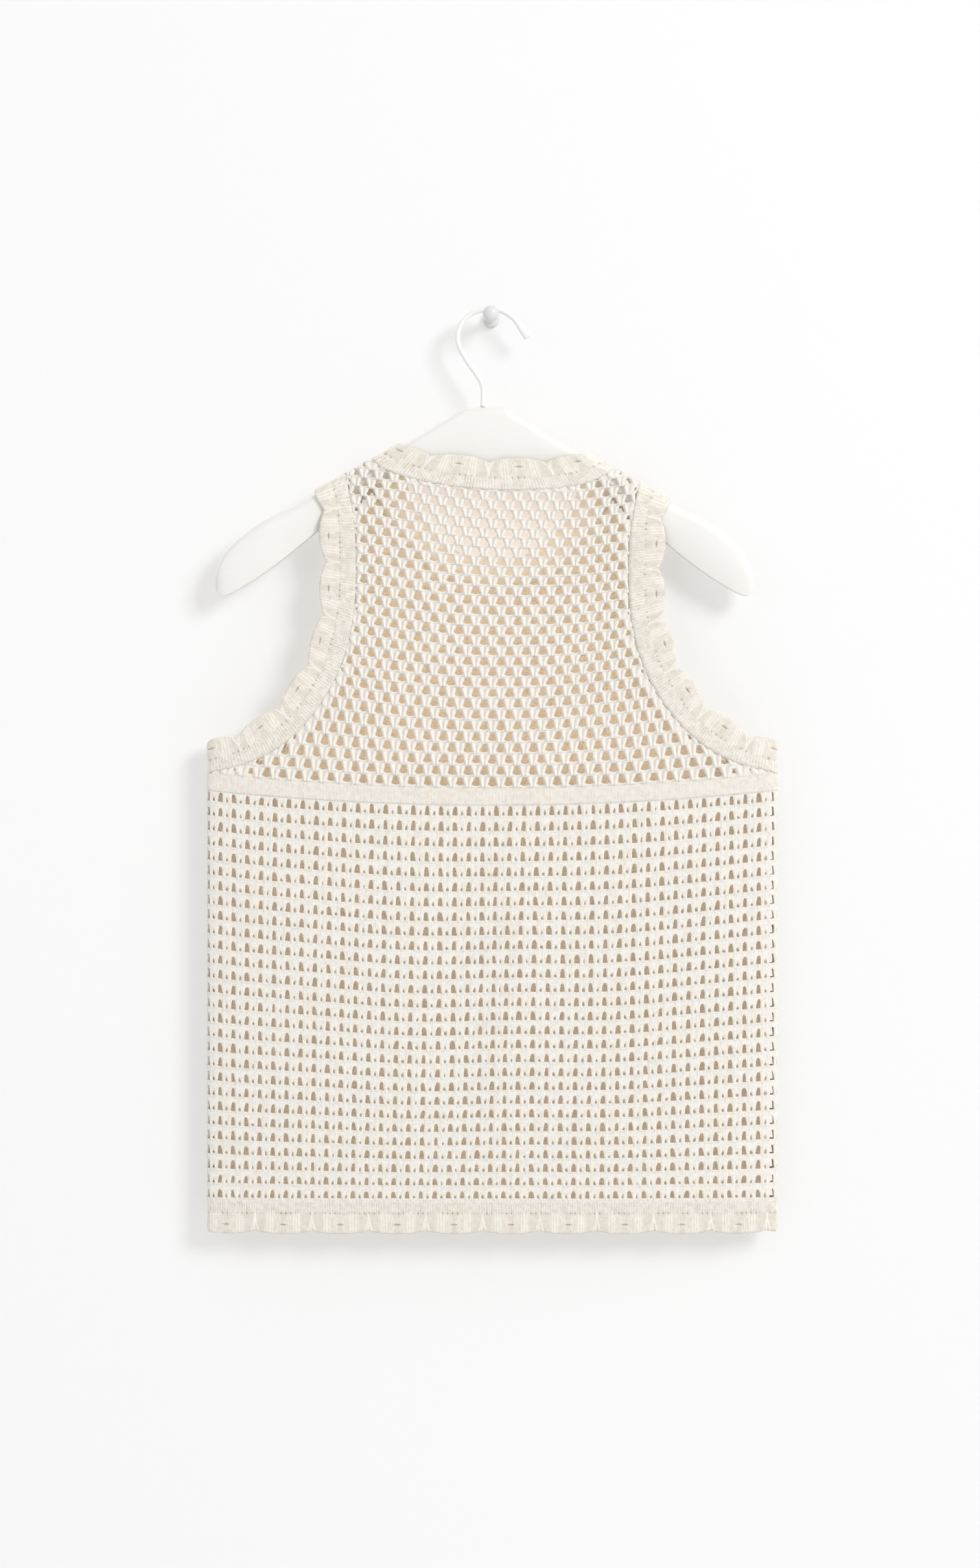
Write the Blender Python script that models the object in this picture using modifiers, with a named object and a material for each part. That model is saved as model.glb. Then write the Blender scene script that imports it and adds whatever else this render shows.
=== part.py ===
"""Sleeveless openwork knit top on a white wooden hanger, hung from a wall peg.

The frame is in metres with +Z up. The origin is the middle of the peg's flat back, so the wall
is the plane y = 0, and the back of the top faces -Y. Heights of the hanger and of the top are
measured down from the inside top of the hanger's hook, and HOOK_TOP sets that point in the frame.
"""

import math
from collections import namedtuple

import bmesh
import bpy
import numpy as np

COLLECTION = "jacquard_knit_top"
BACK = -1
FRONT = 1

# Cloth and seams
SEAM_GAP = 0.0003
KNIT_WALL = 0.0018
LINING_WALL = 0.0010
SCALLOP_PUFF = 0.0006
BAND_RAISE = 0.0004

# Peg, a turned knob with its axis along Y
PEG_FLANGE_RADIUS = 0.0058
PEG_FLANGE_THICKNESS = 0.0025
PEG_STEM_RADIUS = 0.0025
PEG_HEAD_RADIUS = 0.0056
PEG_HEAD_START = 0.0240
PEG_LENGTH = 0.0330
PEG_SEGMENTS = 24

# Where the hanger and the top hang
HOOK_TOP = PEG_STEM_RADIUS + SEAM_GAP
HANG_PLANE_Y = -0.0180
HANGER_X = -0.0043
GARMENT_X = 0.0011
SLIDE = GARMENT_X - HANGER_X

# Hook wire, its middle line from the hanger's top round to the free tip
WIRE_RADIUS = 0.0018
WIRE_TIP_FLARE = 1.6
WIRE_STEPS = 3
HookPoint = namedtuple("HookPoint", "x z")
HOOK_PATH = (
    HookPoint(-0.0057, -0.0670),
    HookPoint(-0.0057, -0.0530),
    HookPoint(-0.0098, -0.0445),
    HookPoint(-0.0168, -0.0345),
    HookPoint(-0.0225, -0.0236),
    HookPoint(-0.0230, -0.0145),
    HookPoint(-0.0195, -0.0064),
    HookPoint(-0.0123, -0.0005),
    HookPoint(-0.0014, 0.0018),
    HookPoint(0.0082, 0.0005),
    HookPoint(0.0159, -0.0045),
    HookPoint(0.0214, -0.0114),
    HookPoint(0.0264, -0.0173),
)

# Hanger, one row for each upright section from the middle out to the wing's tip
HangerSection = namedtuple("HangerSection", "reach top facet bottom half_depth")
HANGER_SECTIONS = (
    HangerSection(0.0134, -0.0673, -0.1030, -0.1140, 0.0060),
    HangerSection(0.0300, -0.0775, -0.1030, -0.1130, 0.0062),
    HangerSection(0.0490, -0.0891, -0.1060, -0.1140, 0.0066),
    HangerSection(0.0850, -0.1092, -0.1195, -0.1260, 0.0070),
    HangerSection(0.1050, -0.1204, -0.1360, -0.1440, 0.0070),
    HangerSection(0.1340, -0.1364, -0.1560, -0.1680, 0.0070),
    HangerSection(0.1480, -0.1425, -0.1650, -0.1790, 0.0076),
    HangerSection(0.1600, -0.1495, -0.1720, -0.1875, 0.0080),
    HangerSection(0.1730, -0.1590, -0.1800, -0.1955, 0.0078),
    HangerSection(0.1825, -0.1690, -0.1855, -0.2000, 0.0068),
    HangerSection(0.1875, -0.1790, -0.1890, -0.1990, 0.0052),
    HangerSection(0.1895, -0.1870, -0.1905, -0.1950, 0.0030),
)
HANGER_BEVEL = 0.55
HANGER_TOP_STEPS = 3

# Shoulder line, the same slope as the hanger's arm
NECK_POINT_X = 0.0640
NECK_POINT_Z = -0.0945
SHOULDER_SLOPE = 0.557
SHOULDER_ROUND = 0.0097
ROUND_ANGLES = (0.0, 30.0, 60.0, 90.0)
LEAN_START_Z = -0.3000
LEAN_FULL_Z = -0.1350

# Body, a flattened oval in plan whose sides fold at FOLD_HALF
FOLD_HALF = 0.2007
FOLD_POWER = 3.5
DepthRow = namedtuple("DepthRow", "height half_depth")
LAYER_DEPTHS = (
    DepthRow(-0.6500, 0.0086),
    DepthRow(-0.5000, 0.0096),
    DepthRow(-0.3300, 0.0104),
    DepthRow(-0.2000, 0.0101),
    DepthRow(-0.1300, 0.0097),
)
BODY_COLUMNS = (0.0, 0.10, 0.20, 0.31, 0.42, 0.53, 0.64, 0.75, 0.84, 0.91, 0.96, 0.99, 1.0)
BODY_ROWS = 6
YOKE_COLUMNS = {
    BACK: (0.0, 0.17, 0.33, 0.47, 0.60, 0.71, 0.80, 0.865, 0.90, 0.93, 0.955, 0.98, 1.0),
    FRONT: (0.0, 0.22, 0.42, 0.59, 0.73, 0.835, 0.90, 0.94, 0.955, 0.970, 0.980, 0.990, 1.0),
}

# Solid knit band between the two nets, with the sag of its courses
BAND_TOP_MIDDLE = -0.3355
BAND_HEIGHT = 0.0125
BAND_EDGE = 0.0008

# Neck, two superellipses for each layer: the free edge and the edge sewn to the net
NECK_TRIM_WIDTH = 0.0230
NeckCurve = namedtuple("NeckCurve", "half_width top drop power")
SLOPE_LENGTH = math.hypot(1.0, SHOULDER_SLOPE)
NECK_NET_X = NECK_POINT_X + NECK_TRIM_WIDTH / SLOPE_LENGTH
NECK_NET_Z = NECK_POINT_Z - SHOULDER_SLOPE * (NECK_NET_X - NECK_POINT_X)
NECK_FREE = {
    BACK: NeckCurve(NECK_POINT_X, NECK_POINT_Z, 0.0085, 2.0),
    FRONT: NeckCurve(NECK_POINT_X, NECK_POINT_Z, 0.0765, 2.1),
}
NECK_SEWN = {
    BACK: NeckCurve(NECK_NET_X, NECK_NET_Z, 0.0203, 2.0),
    FRONT: NeckCurve(NECK_NET_X, NECK_NET_Z, 0.0893, 2.2),
}
NECK_PLAIN_KNOTS = 7
NECK_PITCH = {BACK: 0.0400, FRONT: 0.0428}
NECK_SHIFT = {BACK: 0.0, FRONT: 0.0214}

# Armhole, one row for each section: the free edge and the edge sewn to the net
ARM_TRIM_WIDTH = 0.0255
ArmRow = namedtuple("ArmRow", "edge_x edge_z net_x net_z")
SHOULDER_TIP_X = 0.1260
ARM_NET_TOP_X = SHOULDER_TIP_X - ARM_TRIM_WIDTH / SLOPE_LENGTH
ARM_ROWS = (
    ArmRow(0.1225, -0.1500, 0.0975, -0.1500),
    ArmRow(0.1215, -0.1850, 0.0960, -0.1880),
    ArmRow(0.1230, -0.2120, 0.0985, -0.2210),
    ArmRow(0.1295, -0.2380, 0.1060, -0.2490),
    ArmRow(0.1390, -0.2570, 0.1185, -0.2730),
    ArmRow(0.1510, -0.2740, 0.1340, -0.2930),
    ArmRow(0.1650, -0.2860, 0.1520, -0.3080),
    ArmRow(0.1810, -0.2950, 0.1730, -0.3180),
    ArmRow(FOLD_HALF, -0.3020, FOLD_HALF, -0.3250),
)
ARM_FIRST_NOTCH = 0.0150
ARM_PITCH = 0.0350

# Hem
HEM_TOP = -0.6259
HEM_TIP = -0.6491
HEM_PITCH = 0.0400
HEM_FIRST_NOTCH = -0.2070
FOLD_STATIONS = (0.886, 0.9717, 0.993)

# Scalloped band of every trim
SCALLOP_WIDTH = 0.0147
SCALLOP_STEPS = 6
SCALLOP_ROUND = 0.6
NOTCH_DEPTH = {"neck": 0.0040, "armhole": 0.0040, "hem": 0.0024}
SEWN_GAP = {"neck": 0.0004, "armhole": 0.0006, "hem": SEAM_GAP}
LEAST_STEP = 0.0012

# Lining, the front panel's own grid drawn in and lowered
LINING_SIDE = 0.945
LINING_BELOW_NECK = 0.0040
LINING_BELOW_SHOULDER = 0.0300
LINING_BOTTOM = -0.6340
LINING_SET = KNIT_WALL + 0.0004

# Colours are linear RGB, then roughness
KNIT_FINISH = ((0.83, 0.79, 0.71), 0.90)
TRIM_FINISH = ((0.80, 0.76, 0.68), 0.90)
LINING_FINISH = ((0.60, 0.47, 0.33), 0.85)
WOOD_FINISH = ((0.88, 0.87, 0.85), 0.35)
WIRE_FINISH = ((0.86, 0.85, 0.84), 0.30)
PEG_FINISH = ((0.80, 0.80, 0.79), 0.30)


def clear_scene():
    """Removes every object that the file starts with."""
    for scene_object in list(bpy.data.objects):
        bpy.data.objects.remove(scene_object, do_unlink=True)


def make_collection(name):
    """Makes the collection that holds the parts."""
    collection = bpy.data.collections.new(name)
    bpy.context.scene.collection.children.link(collection)
    return collection


def make_material(name, finish):
    """Makes a Principled material from a colour and a roughness."""
    colour, roughness = finish
    material = bpy.data.materials.new(name)
    material.use_nodes = True
    shader = material.node_tree.nodes["Principled BSDF"]
    shader.inputs["Base Color"].default_value = (*colour, 1.0)
    shader.inputs["Roughness"].default_value = roughness
    shader.inputs["Metallic"].default_value = 0.0
    return material


def add_object(name, data, finish, collection):
    """Links a mesh or curve as one named part with its own material."""
    part = bpy.data.objects.new(name, data)
    collection.objects.link(part)
    data.materials.append(make_material(name + "_finish", finish))
    return part


def smooth_path(points, steps):
    """Reads a Catmull-Rom curve through the points, with that many steps a span."""
    points = np.asarray(points, dtype=float)
    ends = np.vstack([2 * points[0] - points[1], points, 2 * points[-1] - points[-2]])
    path = []
    for span in range(len(points) - 1):
        p0, p1, p2, p3 = ends[span:span + 4]
        for step in range(steps):
            t = step / steps
            path.append(0.5 * (2 * p1 + (p2 - p0) * t + (2 * p0 - 5 * p1 + 4 * p2 - p3) * t ** 2
                               + (3 * p1 - p0 - 3 * p2 + p3) * t ** 3))
    path.append(points[-1])
    return np.array(path)


def lengths_along(points):
    """Gives the length along a line of points, from 0 at its first point."""
    steps = np.linalg.norm(np.diff(points, axis=0), axis=1)
    return np.concatenate([[0.0], np.cumsum(steps)])


def read_line(points, places, wanted):
    """Reads points at the wanted places along straight runs between known places."""
    return np.column_stack([np.interp(wanted, places, points[:, k]) for k in range(points.shape[1])])


def shoulder_height(x):
    """Height of the shoulder line at a distance x from the middle of the top."""
    return NECK_POINT_Z - SHOULDER_SLOPE * (abs(x) - NECK_POINT_X)


def round_drops():
    """Distances below the shoulder line where the cloth turns over the hanger."""
    return [SHOULDER_ROUND * (1 - math.cos(math.radians(angle))) for angle in ROUND_ANGLES]


def lean(x, z):
    """Rise of the left shoulder and drop of the right, from the top's slide along the hanger."""
    t = min(max((z - LEAN_START_Z) / (LEAN_FULL_Z - LEAN_START_Z), 0.0), 1.0)
    fade = t * t * (3 - 2 * t)
    across = min(max(x / NECK_POINT_X, -1.0), 1.0)
    return -SLIDE * SHOULDER_SLOPE * across * fade


def place(x, z, layer, inset):
    """Maps a point of the front view onto a layer's outer face, then moves it in by inset.

    In plan the layers make a flattened oval, |x / FOLD_HALF| ** p + |depth / half| ** p = 1, and
    each turns over the hanger in a quarter circle below the shoulder line. The same two rules
    give the depth and the outward normal, so pieces that meet at a seam keep the same gap
    through the whole wall.
    """
    heights = [row.height for row in LAYER_DEPTHS]
    half = np.interp(z, heights, [row.half_depth for row in LAYER_DEPTHS])
    side = min(1.0, abs(x) / FOLD_HALF)
    oval = (1 - side ** FOLD_POWER) ** (1 / FOLD_POWER)
    below = min(max((shoulder_height(x) - z) / SHOULDER_ROUND, 0.0), 1.0)
    turn = math.sqrt(1 - (1 - below) ** 2)
    upward = oval ** FOLD_POWER * (1 - below) / SHOULDER_ROUND
    normal = np.array([
        math.copysign(side ** (FOLD_POWER - 1) / FOLD_HALF * turn ** 2 + upward * SHOULDER_SLOPE, x),
        layer * oval ** (FOLD_POWER - 1) * turn / half,
        upward,
    ])
    normal /= np.linalg.norm(normal)
    y = HANG_PLANE_Y + layer * (SEAM_GAP / 2 + half * oval * turn)
    return np.array([GARMENT_X + x, y, HOOK_TOP + z + lean(x, z)]) - normal * inset


def make_wall(name, grid, layer, finish, collection, thickness=KNIT_WALL, inset=0.0, relief=None):
    """Makes a cloth wall between an outer face, with its relief, and a plain inner one.

    grid holds rows of front-view points that run up, with columns that run to +X. relief is
    the height that each outer point is raised by, and inset the depth of the whole wall behind
    the cloth's outer face. The two faces differ, so the wall is a loft between them.
    """
    rows, columns = grid.shape[:2]
    raised = np.zeros((rows, columns)) if relief is None else relief
    flat = grid.reshape(-1, 2)
    outer = [place(x, z, layer, inset - up) for (x, z), up in zip(flat, raised.reshape(-1))]
    inner = [place(x, z, layer, inset + thickness) for x, z in flat]
    count = rows * columns

    faces = []
    for row in range(rows - 1):
        for column in range(columns - 1):
            corner = row * columns + column
            face = (corner, corner + 1, corner + columns + 1, corner + columns)
            faces.append(face)
            faces.append(tuple(index + count for index in face[::-1]))
    bottom = list(range(columns))
    right = [row * columns + columns - 1 for row in range(1, rows)]
    top = [(rows - 1) * columns + column for column in range(columns - 2, -1, -1)]
    left = [row * columns for row in range(rows - 2, 0, -1)]
    rim = bottom + right + top + left
    for index, after in zip(rim, rim[1:] + rim[:1]):
        faces.append((after, index, index + count, after + count))
    if layer == FRONT:
        faces = [face[::-1] for face in faces]

    mesh = bpy.data.meshes.new(name)
    mesh.from_pydata(outer + inner, [], faces)
    mesh.shade_smooth()
    mesh.set_sharp_from_angle(angle=math.radians(40))
    return add_object(name, mesh, finish, collection)


def superellipse(curve, angle):
    """Point of a neck curve, with the angle measured from straight down."""
    across = math.copysign(abs(math.sin(angle)) ** (2 / curve.power), angle)
    down = abs(math.cos(angle)) ** (2 / curve.power)
    return (curve.half_width * across, curve.top - curve.drop * down)


def neck_knots(layer):
    """Angles of the neck's sewn edge from the middle to the shoulder, closer where it turns."""
    fine = np.linspace(0.0, math.pi / 2, 2001)
    edge = [superellipse(NECK_SEWN[layer], angle) for angle in fine]
    drops = np.array([shoulder_height(x) - z for x, z in edge])
    turning = [float(np.interp(-drop, -drops, fine)) for drop in round_drops()[:0:-1]]
    plain = np.linspace(0.0, turning[0], NECK_PLAIN_KNOTS + 1)[:-1]
    return list(plain) + turning + [math.pi / 2]


def both_sides(values):
    """Mirrors a list that starts at 0 into one that runs from minus to plus."""
    return [-value for value in values[:0:-1]] + list(values)


def armhole_edges():
    """Reads the armhole's free and sewn edges, from the shoulder line down to the fold."""
    top = (SHOULDER_TIP_X, shoulder_height(SHOULDER_TIP_X),
           ARM_NET_TOP_X, shoulder_height(ARM_NET_TOP_X))
    path = smooth_path([top, *ARM_ROWS], 8)
    return path[:, :2], path[:, 2:], lengths_along(path[:, :2])


def scallop_places(first_notch, pitch, start, end):
    """Places along an edge where the scallop line bends: its notches and steps between."""
    step = pitch / SCALLOP_STEPS
    first = math.ceil((start - first_notch) / step)
    last = math.floor((end - first_notch) / step)
    return [first_notch + step * index for index in range(first, last + 1)]


def merge_places(fixed, free):
    """Joins two lists of places and drops the free ones that crowd a fixed one."""
    kept = [place for place in free if min(abs(place - other) for other in fixed) > LEAST_STEP]
    return np.array(sorted(list(fixed) + kept))


def armhole_stations():
    """Places of the armhole trim's sections, and those that the panel's rows share."""
    _free, _sewn, lengths = armhole_edges()
    total = lengths[-1]
    near_fold = [total - (1 - share) * FOLD_HALF for share in FOLD_STATIONS]
    fixed = round_drops() + near_fold + [total]
    stations = merge_places(fixed, scallop_places(ARM_FIRST_NOTCH, ARM_PITCH, 0.0, total))
    inner = [place for place in stations if round_drops()[-1] < place < near_fold[0]]
    knots = round_drops() + inner[1::3] + near_fold + [total]
    return stations, np.array(knots)


def wave(places, first_notch, pitch):
    """Height of the scallop line: 0 in a notch and 1 on a lobe."""
    phase = np.pi * (np.asarray(places) - first_notch) / pitch
    return np.abs(np.sin(phase)) ** SCALLOP_ROUND


def trim_grid(free, sewn, lobes, kind):
    """Grid of a trim from its free edge, through the puffed band, to its sewn edge."""
    grid, relief = [], []
    for edge, seam, lobe in zip(free, sewn, lobes):
        width = float(np.hypot(*(seam - edge)))
        recess = NOTCH_DEPTH[kind] * (1 - lobe)
        places = (recess, SCALLOP_WIDTH * 0.5, SCALLOP_WIDTH, width - SEWN_GAP[kind])
        grid.append([edge + (seam - edge) * (place / width) for place in places])
        relief.append([0.0, SCALLOP_PUFF * lobe, 0.0, 0.0])
    return np.array(grid), np.array(relief)


def make_armhole_trim(name, side, layer, collection):
    """Makes one layer of an armhole trim, from the shoulder seam down to the side seam."""
    free, sewn, lengths = armhole_edges()
    stations, knots = armhole_stations()
    free_points = read_line(free, lengths, stations)
    sewn_points = read_line(read_line(sewn, lengths, knots), knots, stations)
    lobes = wave(stations, ARM_FIRST_NOTCH, ARM_PITCH)
    grid, relief = trim_grid(free_points, sewn_points, lobes, "armhole")
    grid = grid * np.array([side, 1.0])
    if side > 0:
        grid, relief = grid[:, ::-1], relief[:, ::-1]
    grid, relief = grid[::-1], relief[::-1]
    return make_wall(name, grid, layer, TRIM_FINISH, collection, relief=relief)


def make_neck_trim(name, layer, collection):
    """Makes one layer of the neck trim, between the two shoulder seams."""
    knots = np.array(both_sides(neck_knots(layer)))
    fine = np.linspace(-math.pi / 2, math.pi / 2, 2001)
    free_fine = np.array([superellipse(NECK_FREE[layer], angle) for angle in fine])
    lengths = lengths_along(free_fine)
    half = lengths[-1] / 2
    first_notch = half + NECK_SHIFT[layer]
    places = scallop_places(first_notch, NECK_PITCH[layer], 0.0, 2 * half)
    fixed = list(np.interp(knots, fine, lengths))
    stations = merge_places(fixed, places)
    angles = np.interp(stations, lengths, fine)
    sewn_knots = np.array([superellipse(NECK_SEWN[layer], angle) for angle in knots])
    sewn = read_line(sewn_knots, knots, angles)
    free = np.array([superellipse(NECK_FREE[layer], angle) for angle in angles])
    lobes = wave(stations, first_notch, NECK_PITCH[layer])
    grid, relief = trim_grid(free, sewn, lobes, "neck")
    grid, relief = grid.transpose(1, 0, 2)[::-1], relief.T[::-1]
    return make_wall(name, grid, layer, TRIM_FINISH, collection, relief=relief)


def make_hem_trim(name, layer, collection):
    """Makes one layer of the hem trim, between the two side seams."""
    near_fold = [share * FOLD_HALF for share in FOLD_STATIONS] + [FOLD_HALF]
    fixed = [-place for place in near_fold[::-1]] + near_fold
    places = scallop_places(HEM_FIRST_NOTCH, HEM_PITCH, -FOLD_HALF, FOLD_HALF)
    stations = merge_places(fixed, places)
    free = np.column_stack([stations, np.full(len(stations), HEM_TIP)])
    sewn = np.column_stack([stations, np.full(len(stations), HEM_TOP)])
    lobes = wave(stations, HEM_FIRST_NOTCH, HEM_PITCH)
    grid, relief = trim_grid(free, sewn, lobes, "hem")
    grid, relief = grid.transpose(1, 0, 2), relief.T
    return make_wall(name, grid, layer, TRIM_FINISH, collection, relief=relief)


def panel_grid(layer):
    """Grid of a panel: the body, the solid band, the yoke and the rows below the neck."""
    columns = np.array(both_sides(BODY_COLUMNS))
    _free, sewn, lengths = armhole_edges()
    _stations, knots = armhole_stations()
    edge = read_line(sewn, lengths, knots)[::-1]
    neck = [superellipse(NECK_SEWN[layer], angle) for angle in neck_knots(layer)]
    middle_x = (neck[-1][0] + edge[-1][0]) / 2
    top_half = neck + [(middle_x, shoulder_height(middle_x)), tuple(edge[-1])]
    top = np.array([(-x, z) for x, z in top_half[:0:-1]] + top_half)

    band_top_side = edge[0][1]
    band_sag = band_top_side - BAND_TOP_MIDDLE
    bow = 1 - columns ** 2
    rows = []
    band_bottom = band_top_side - BAND_HEIGHT
    for height in np.linspace(HEM_TOP, band_bottom - BAND_EDGE, BODY_ROWS):
        share = (height - HEM_TOP) / (band_bottom - HEM_TOP)
        rows.append(np.column_stack([FOLD_HALF * columns, height - band_sag * share * bow]))
    for height in (band_bottom, band_top_side - BAND_EDGE, band_top_side):
        rows.append(np.column_stack([FOLD_HALF * columns, height - band_sag * bow]))

    neck_foot = NECK_SEWN[layer].top - NECK_SEWN[layer].drop
    flat = int(np.searchsorted(edge[:, 1], neck_foot - SCALLOP_WIDTH)) - 1
    yoke_columns = np.array(both_sides(YOKE_COLUMNS[layer]))
    for index in range(1, flat + 1):
        x, z = edge[index]
        share = (z - edge[0][1]) / (edge[flat][1] - edge[0][1])
        across = columns + (yoke_columns - columns) * share
        rows.append(np.column_stack([x * across, z - band_sag * (1 - share) * bow]))
    level = rows[-1]
    for index in range(flat + 1, len(edge)):
        share = (edge[index][1] - edge[flat][1]) / (edge[-1][1] - edge[flat][1])
        row = level + (top - level) * share
        stray = edge[index] - (edge[flat] + (edge[-1] - edge[flat]) * share)
        row[:, 0] += np.sign(columns) * np.abs(columns) ** 6 * stray[0]
        row[:, 1] += np.abs(columns) ** 6 * stray[1]
        rows.append(row)
    return np.array(rows)


def make_panel(name, layer, collection):
    """Makes the back or front panel, with its solid band raised a little."""
    grid = panel_grid(layer)
    relief = np.zeros(grid.shape[:2])
    inside = slice(2, -2)
    relief[BODY_ROWS:BODY_ROWS + 2, inside] = BAND_RAISE
    return make_wall(name, grid, layer, KNIT_FINISH, collection, relief=relief)


def make_lining(name, collection):
    """Makes the lining from the front panel's points, moved in behind it."""
    grid = panel_grid(FRONT)
    rows = list(range(0, BODY_ROWS, 2)) + list(range(BODY_ROWS, len(grid), 2))
    if rows[-1] != len(grid) - 1:
        rows.append(len(grid) - 1)
    grid = grid[rows][:, ::2].copy()
    grid[0, :, 1] = LINING_BOTTOM
    grid[..., 0] *= LINING_SIDE
    grid[BODY_ROWS // 2:, :, 1] -= LINING_BELOW_NECK
    for row in range(BODY_ROWS // 2, len(grid)):
        under = len(grid) - 1 - row
        for column in range(grid.shape[1]):
            x, z = grid[row, column]
            ceiling = shoulder_height(x) - LINING_BELOW_SHOULDER - under * LINING_BELOW_NECK
            grid[row, column, 1] = min(z, ceiling)
    return make_wall(name, grid, FRONT, LINING_FINISH, collection, thickness=LINING_WALL,
                     inset=LINING_SET)


def hanger_outline(section):
    """Closed outline of one hanger section in Y and Z: round top, flat faces, bevelled foot."""
    depth = section.half_depth
    radius = min(depth, (section.top - section.facet) * 0.8)
    arc = []
    for step in range(HANGER_TOP_STEPS + 1):
        angle = math.pi / 2 * step / HANGER_TOP_STEPS
        arc.append((depth * math.cos(angle), section.top - radius + radius * math.sin(angle)))
    near = [(-depth * HANGER_BEVEL, section.bottom), (-depth, section.facet)]
    near += [(-y, z) for y, z in arc]
    far = arc[-2::-1] + [(depth, section.facet), (depth * HANGER_BEVEL, section.bottom)]
    return near + far


def make_hanger(name, collection):
    """Makes the hanger as a loft through its sections, from wing tip to wing tip."""
    stations = [(-s.reach, s) for s in HANGER_SECTIONS[::-1]]
    stations += [(s.reach, s) for s in HANGER_SECTIONS]
    shape = bmesh.new()
    loops = []
    for x, section in stations:
        outline = hanger_outline(section)
        loops.append([shape.verts.new((HANGER_X + x, HANG_PLANE_Y + y, HOOK_TOP + z))
                      for y, z in outline])
    count = len(loops[0])
    for first, second in zip(loops, loops[1:]):
        for index in range(count):
            after = (index + 1) % count
            shape.faces.new((first[index], first[after], second[after], second[index]))
    shape.faces.new(loops[0][::-1])
    shape.faces.new(loops[-1])
    bmesh.ops.recalc_face_normals(shape, faces=shape.faces)
    mesh = bpy.data.meshes.new(name)
    shape.to_mesh(mesh)
    shape.free()
    hanger = add_object(name, mesh, WOOD_FINISH, collection)
    mesh.shade_smooth()
    mesh.set_sharp_from_angle(angle=math.radians(35))
    return hanger


def make_hook(name, collection):
    """Makes the hanger's wire hook as a round wire with a flared tip."""
    path = smooth_path(HOOK_PATH, WIRE_STEPS)
    curve = bpy.data.curves.new(name, "CURVE")
    curve.dimensions = "3D"
    curve.bevel_depth = WIRE_RADIUS
    curve.bevel_resolution = 2
    curve.use_fill_caps = True
    spline = curve.splines.new("POLY")
    spline.points.add(len(path) - 1)
    for index, (x, z) in enumerate(path):
        spline.points[index].co = (x, HANG_PLANE_Y, HOOK_TOP + z, 1.0)
        past = index - (len(path) - 1 - WIRE_STEPS)
        spline.points[index].radius = 1.0 + (WIRE_TIP_FLARE - 1.0) * max(past, 0) / WIRE_STEPS
    return add_object(name, curve, WIRE_FINISH, collection)


def make_peg(name, collection):
    """Makes the wall peg as a turned profile, then lays its axis along Y."""
    head_middle = (PEG_HEAD_START + PEG_LENGTH) / 2
    profile = [(0.0, PEG_LENGTH)]
    for degrees in (25, 50, 75):
        angle = math.radians(degrees)
        rise = (PEG_LENGTH - head_middle) * math.cos(angle)
        profile.append((PEG_HEAD_RADIUS * math.sin(angle), head_middle + rise))
    profile += [(PEG_HEAD_RADIUS, head_middle), (PEG_HEAD_RADIUS * 0.85, PEG_HEAD_START),
                (PEG_STEM_RADIUS, PEG_HEAD_START), (PEG_STEM_RADIUS, PEG_FLANGE_THICKNESS),
                (PEG_FLANGE_RADIUS, PEG_FLANGE_THICKNESS), (PEG_FLANGE_RADIUS, 0.0), (0.0, 0.0)]
    mesh = bpy.data.meshes.new(name)
    edges = [(index, index + 1) for index in range(len(profile) - 1)]
    mesh.from_pydata([(radius, 0.0, height) for radius, height in profile], edges, [])
    peg = add_object(name, mesh, PEG_FINISH, collection)
    screw = peg.modifiers.new("Turn", "SCREW")
    screw.axis = "Z"
    screw.angle = 2 * math.pi
    screw.steps = PEG_SEGMENTS
    screw.render_steps = PEG_SEGMENTS
    screw.use_merge_vertices = True
    screw.merge_threshold = 0.00001
    peg.rotation_euler = (math.pi / 2, 0.0, 0.0)
    return peg


def main():
    """Builds every part of the top, its hanger and the peg."""
    clear_scene()
    collection = make_collection(COLLECTION)
    for layer, word in ((BACK, "back"), (FRONT, "front")):
        make_panel(word + "_panel", layer, collection)
        make_neck_trim("neck_trim_" + word, layer, collection)
        make_hem_trim("hem_trim_" + word, layer, collection)
        for side, hand in ((-1, "left"), (1, "right")):
            make_armhole_trim("armhole_trim_" + hand + "_" + word, side, layer, collection)
    make_lining("front_lining", collection)
    make_hanger("hanger_body", collection)
    make_hook("hanger_hook", collection)
    make_peg("wall_peg", collection)


main()
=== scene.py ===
import logging
import math
from collections.abc import Callable
from dataclasses import dataclass, field
from enum import Enum

import bmesh
import bpy
import numpy as np
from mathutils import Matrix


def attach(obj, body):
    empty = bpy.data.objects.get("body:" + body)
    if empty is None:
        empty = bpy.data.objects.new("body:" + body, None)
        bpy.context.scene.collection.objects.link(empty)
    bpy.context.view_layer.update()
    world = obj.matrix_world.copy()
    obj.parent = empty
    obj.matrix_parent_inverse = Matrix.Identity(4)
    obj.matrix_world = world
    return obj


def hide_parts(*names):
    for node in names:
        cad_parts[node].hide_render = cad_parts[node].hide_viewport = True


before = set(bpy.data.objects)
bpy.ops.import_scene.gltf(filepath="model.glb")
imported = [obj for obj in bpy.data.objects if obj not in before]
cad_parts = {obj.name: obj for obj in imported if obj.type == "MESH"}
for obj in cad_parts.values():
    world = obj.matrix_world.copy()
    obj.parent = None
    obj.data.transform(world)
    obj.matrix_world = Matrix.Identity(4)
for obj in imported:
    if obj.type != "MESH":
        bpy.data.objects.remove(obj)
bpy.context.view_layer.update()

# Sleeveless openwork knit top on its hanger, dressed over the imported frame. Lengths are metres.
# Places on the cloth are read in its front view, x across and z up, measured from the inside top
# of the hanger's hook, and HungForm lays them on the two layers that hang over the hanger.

MM = 0.001
LOG = logging.getLogger("knit_top")


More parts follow.
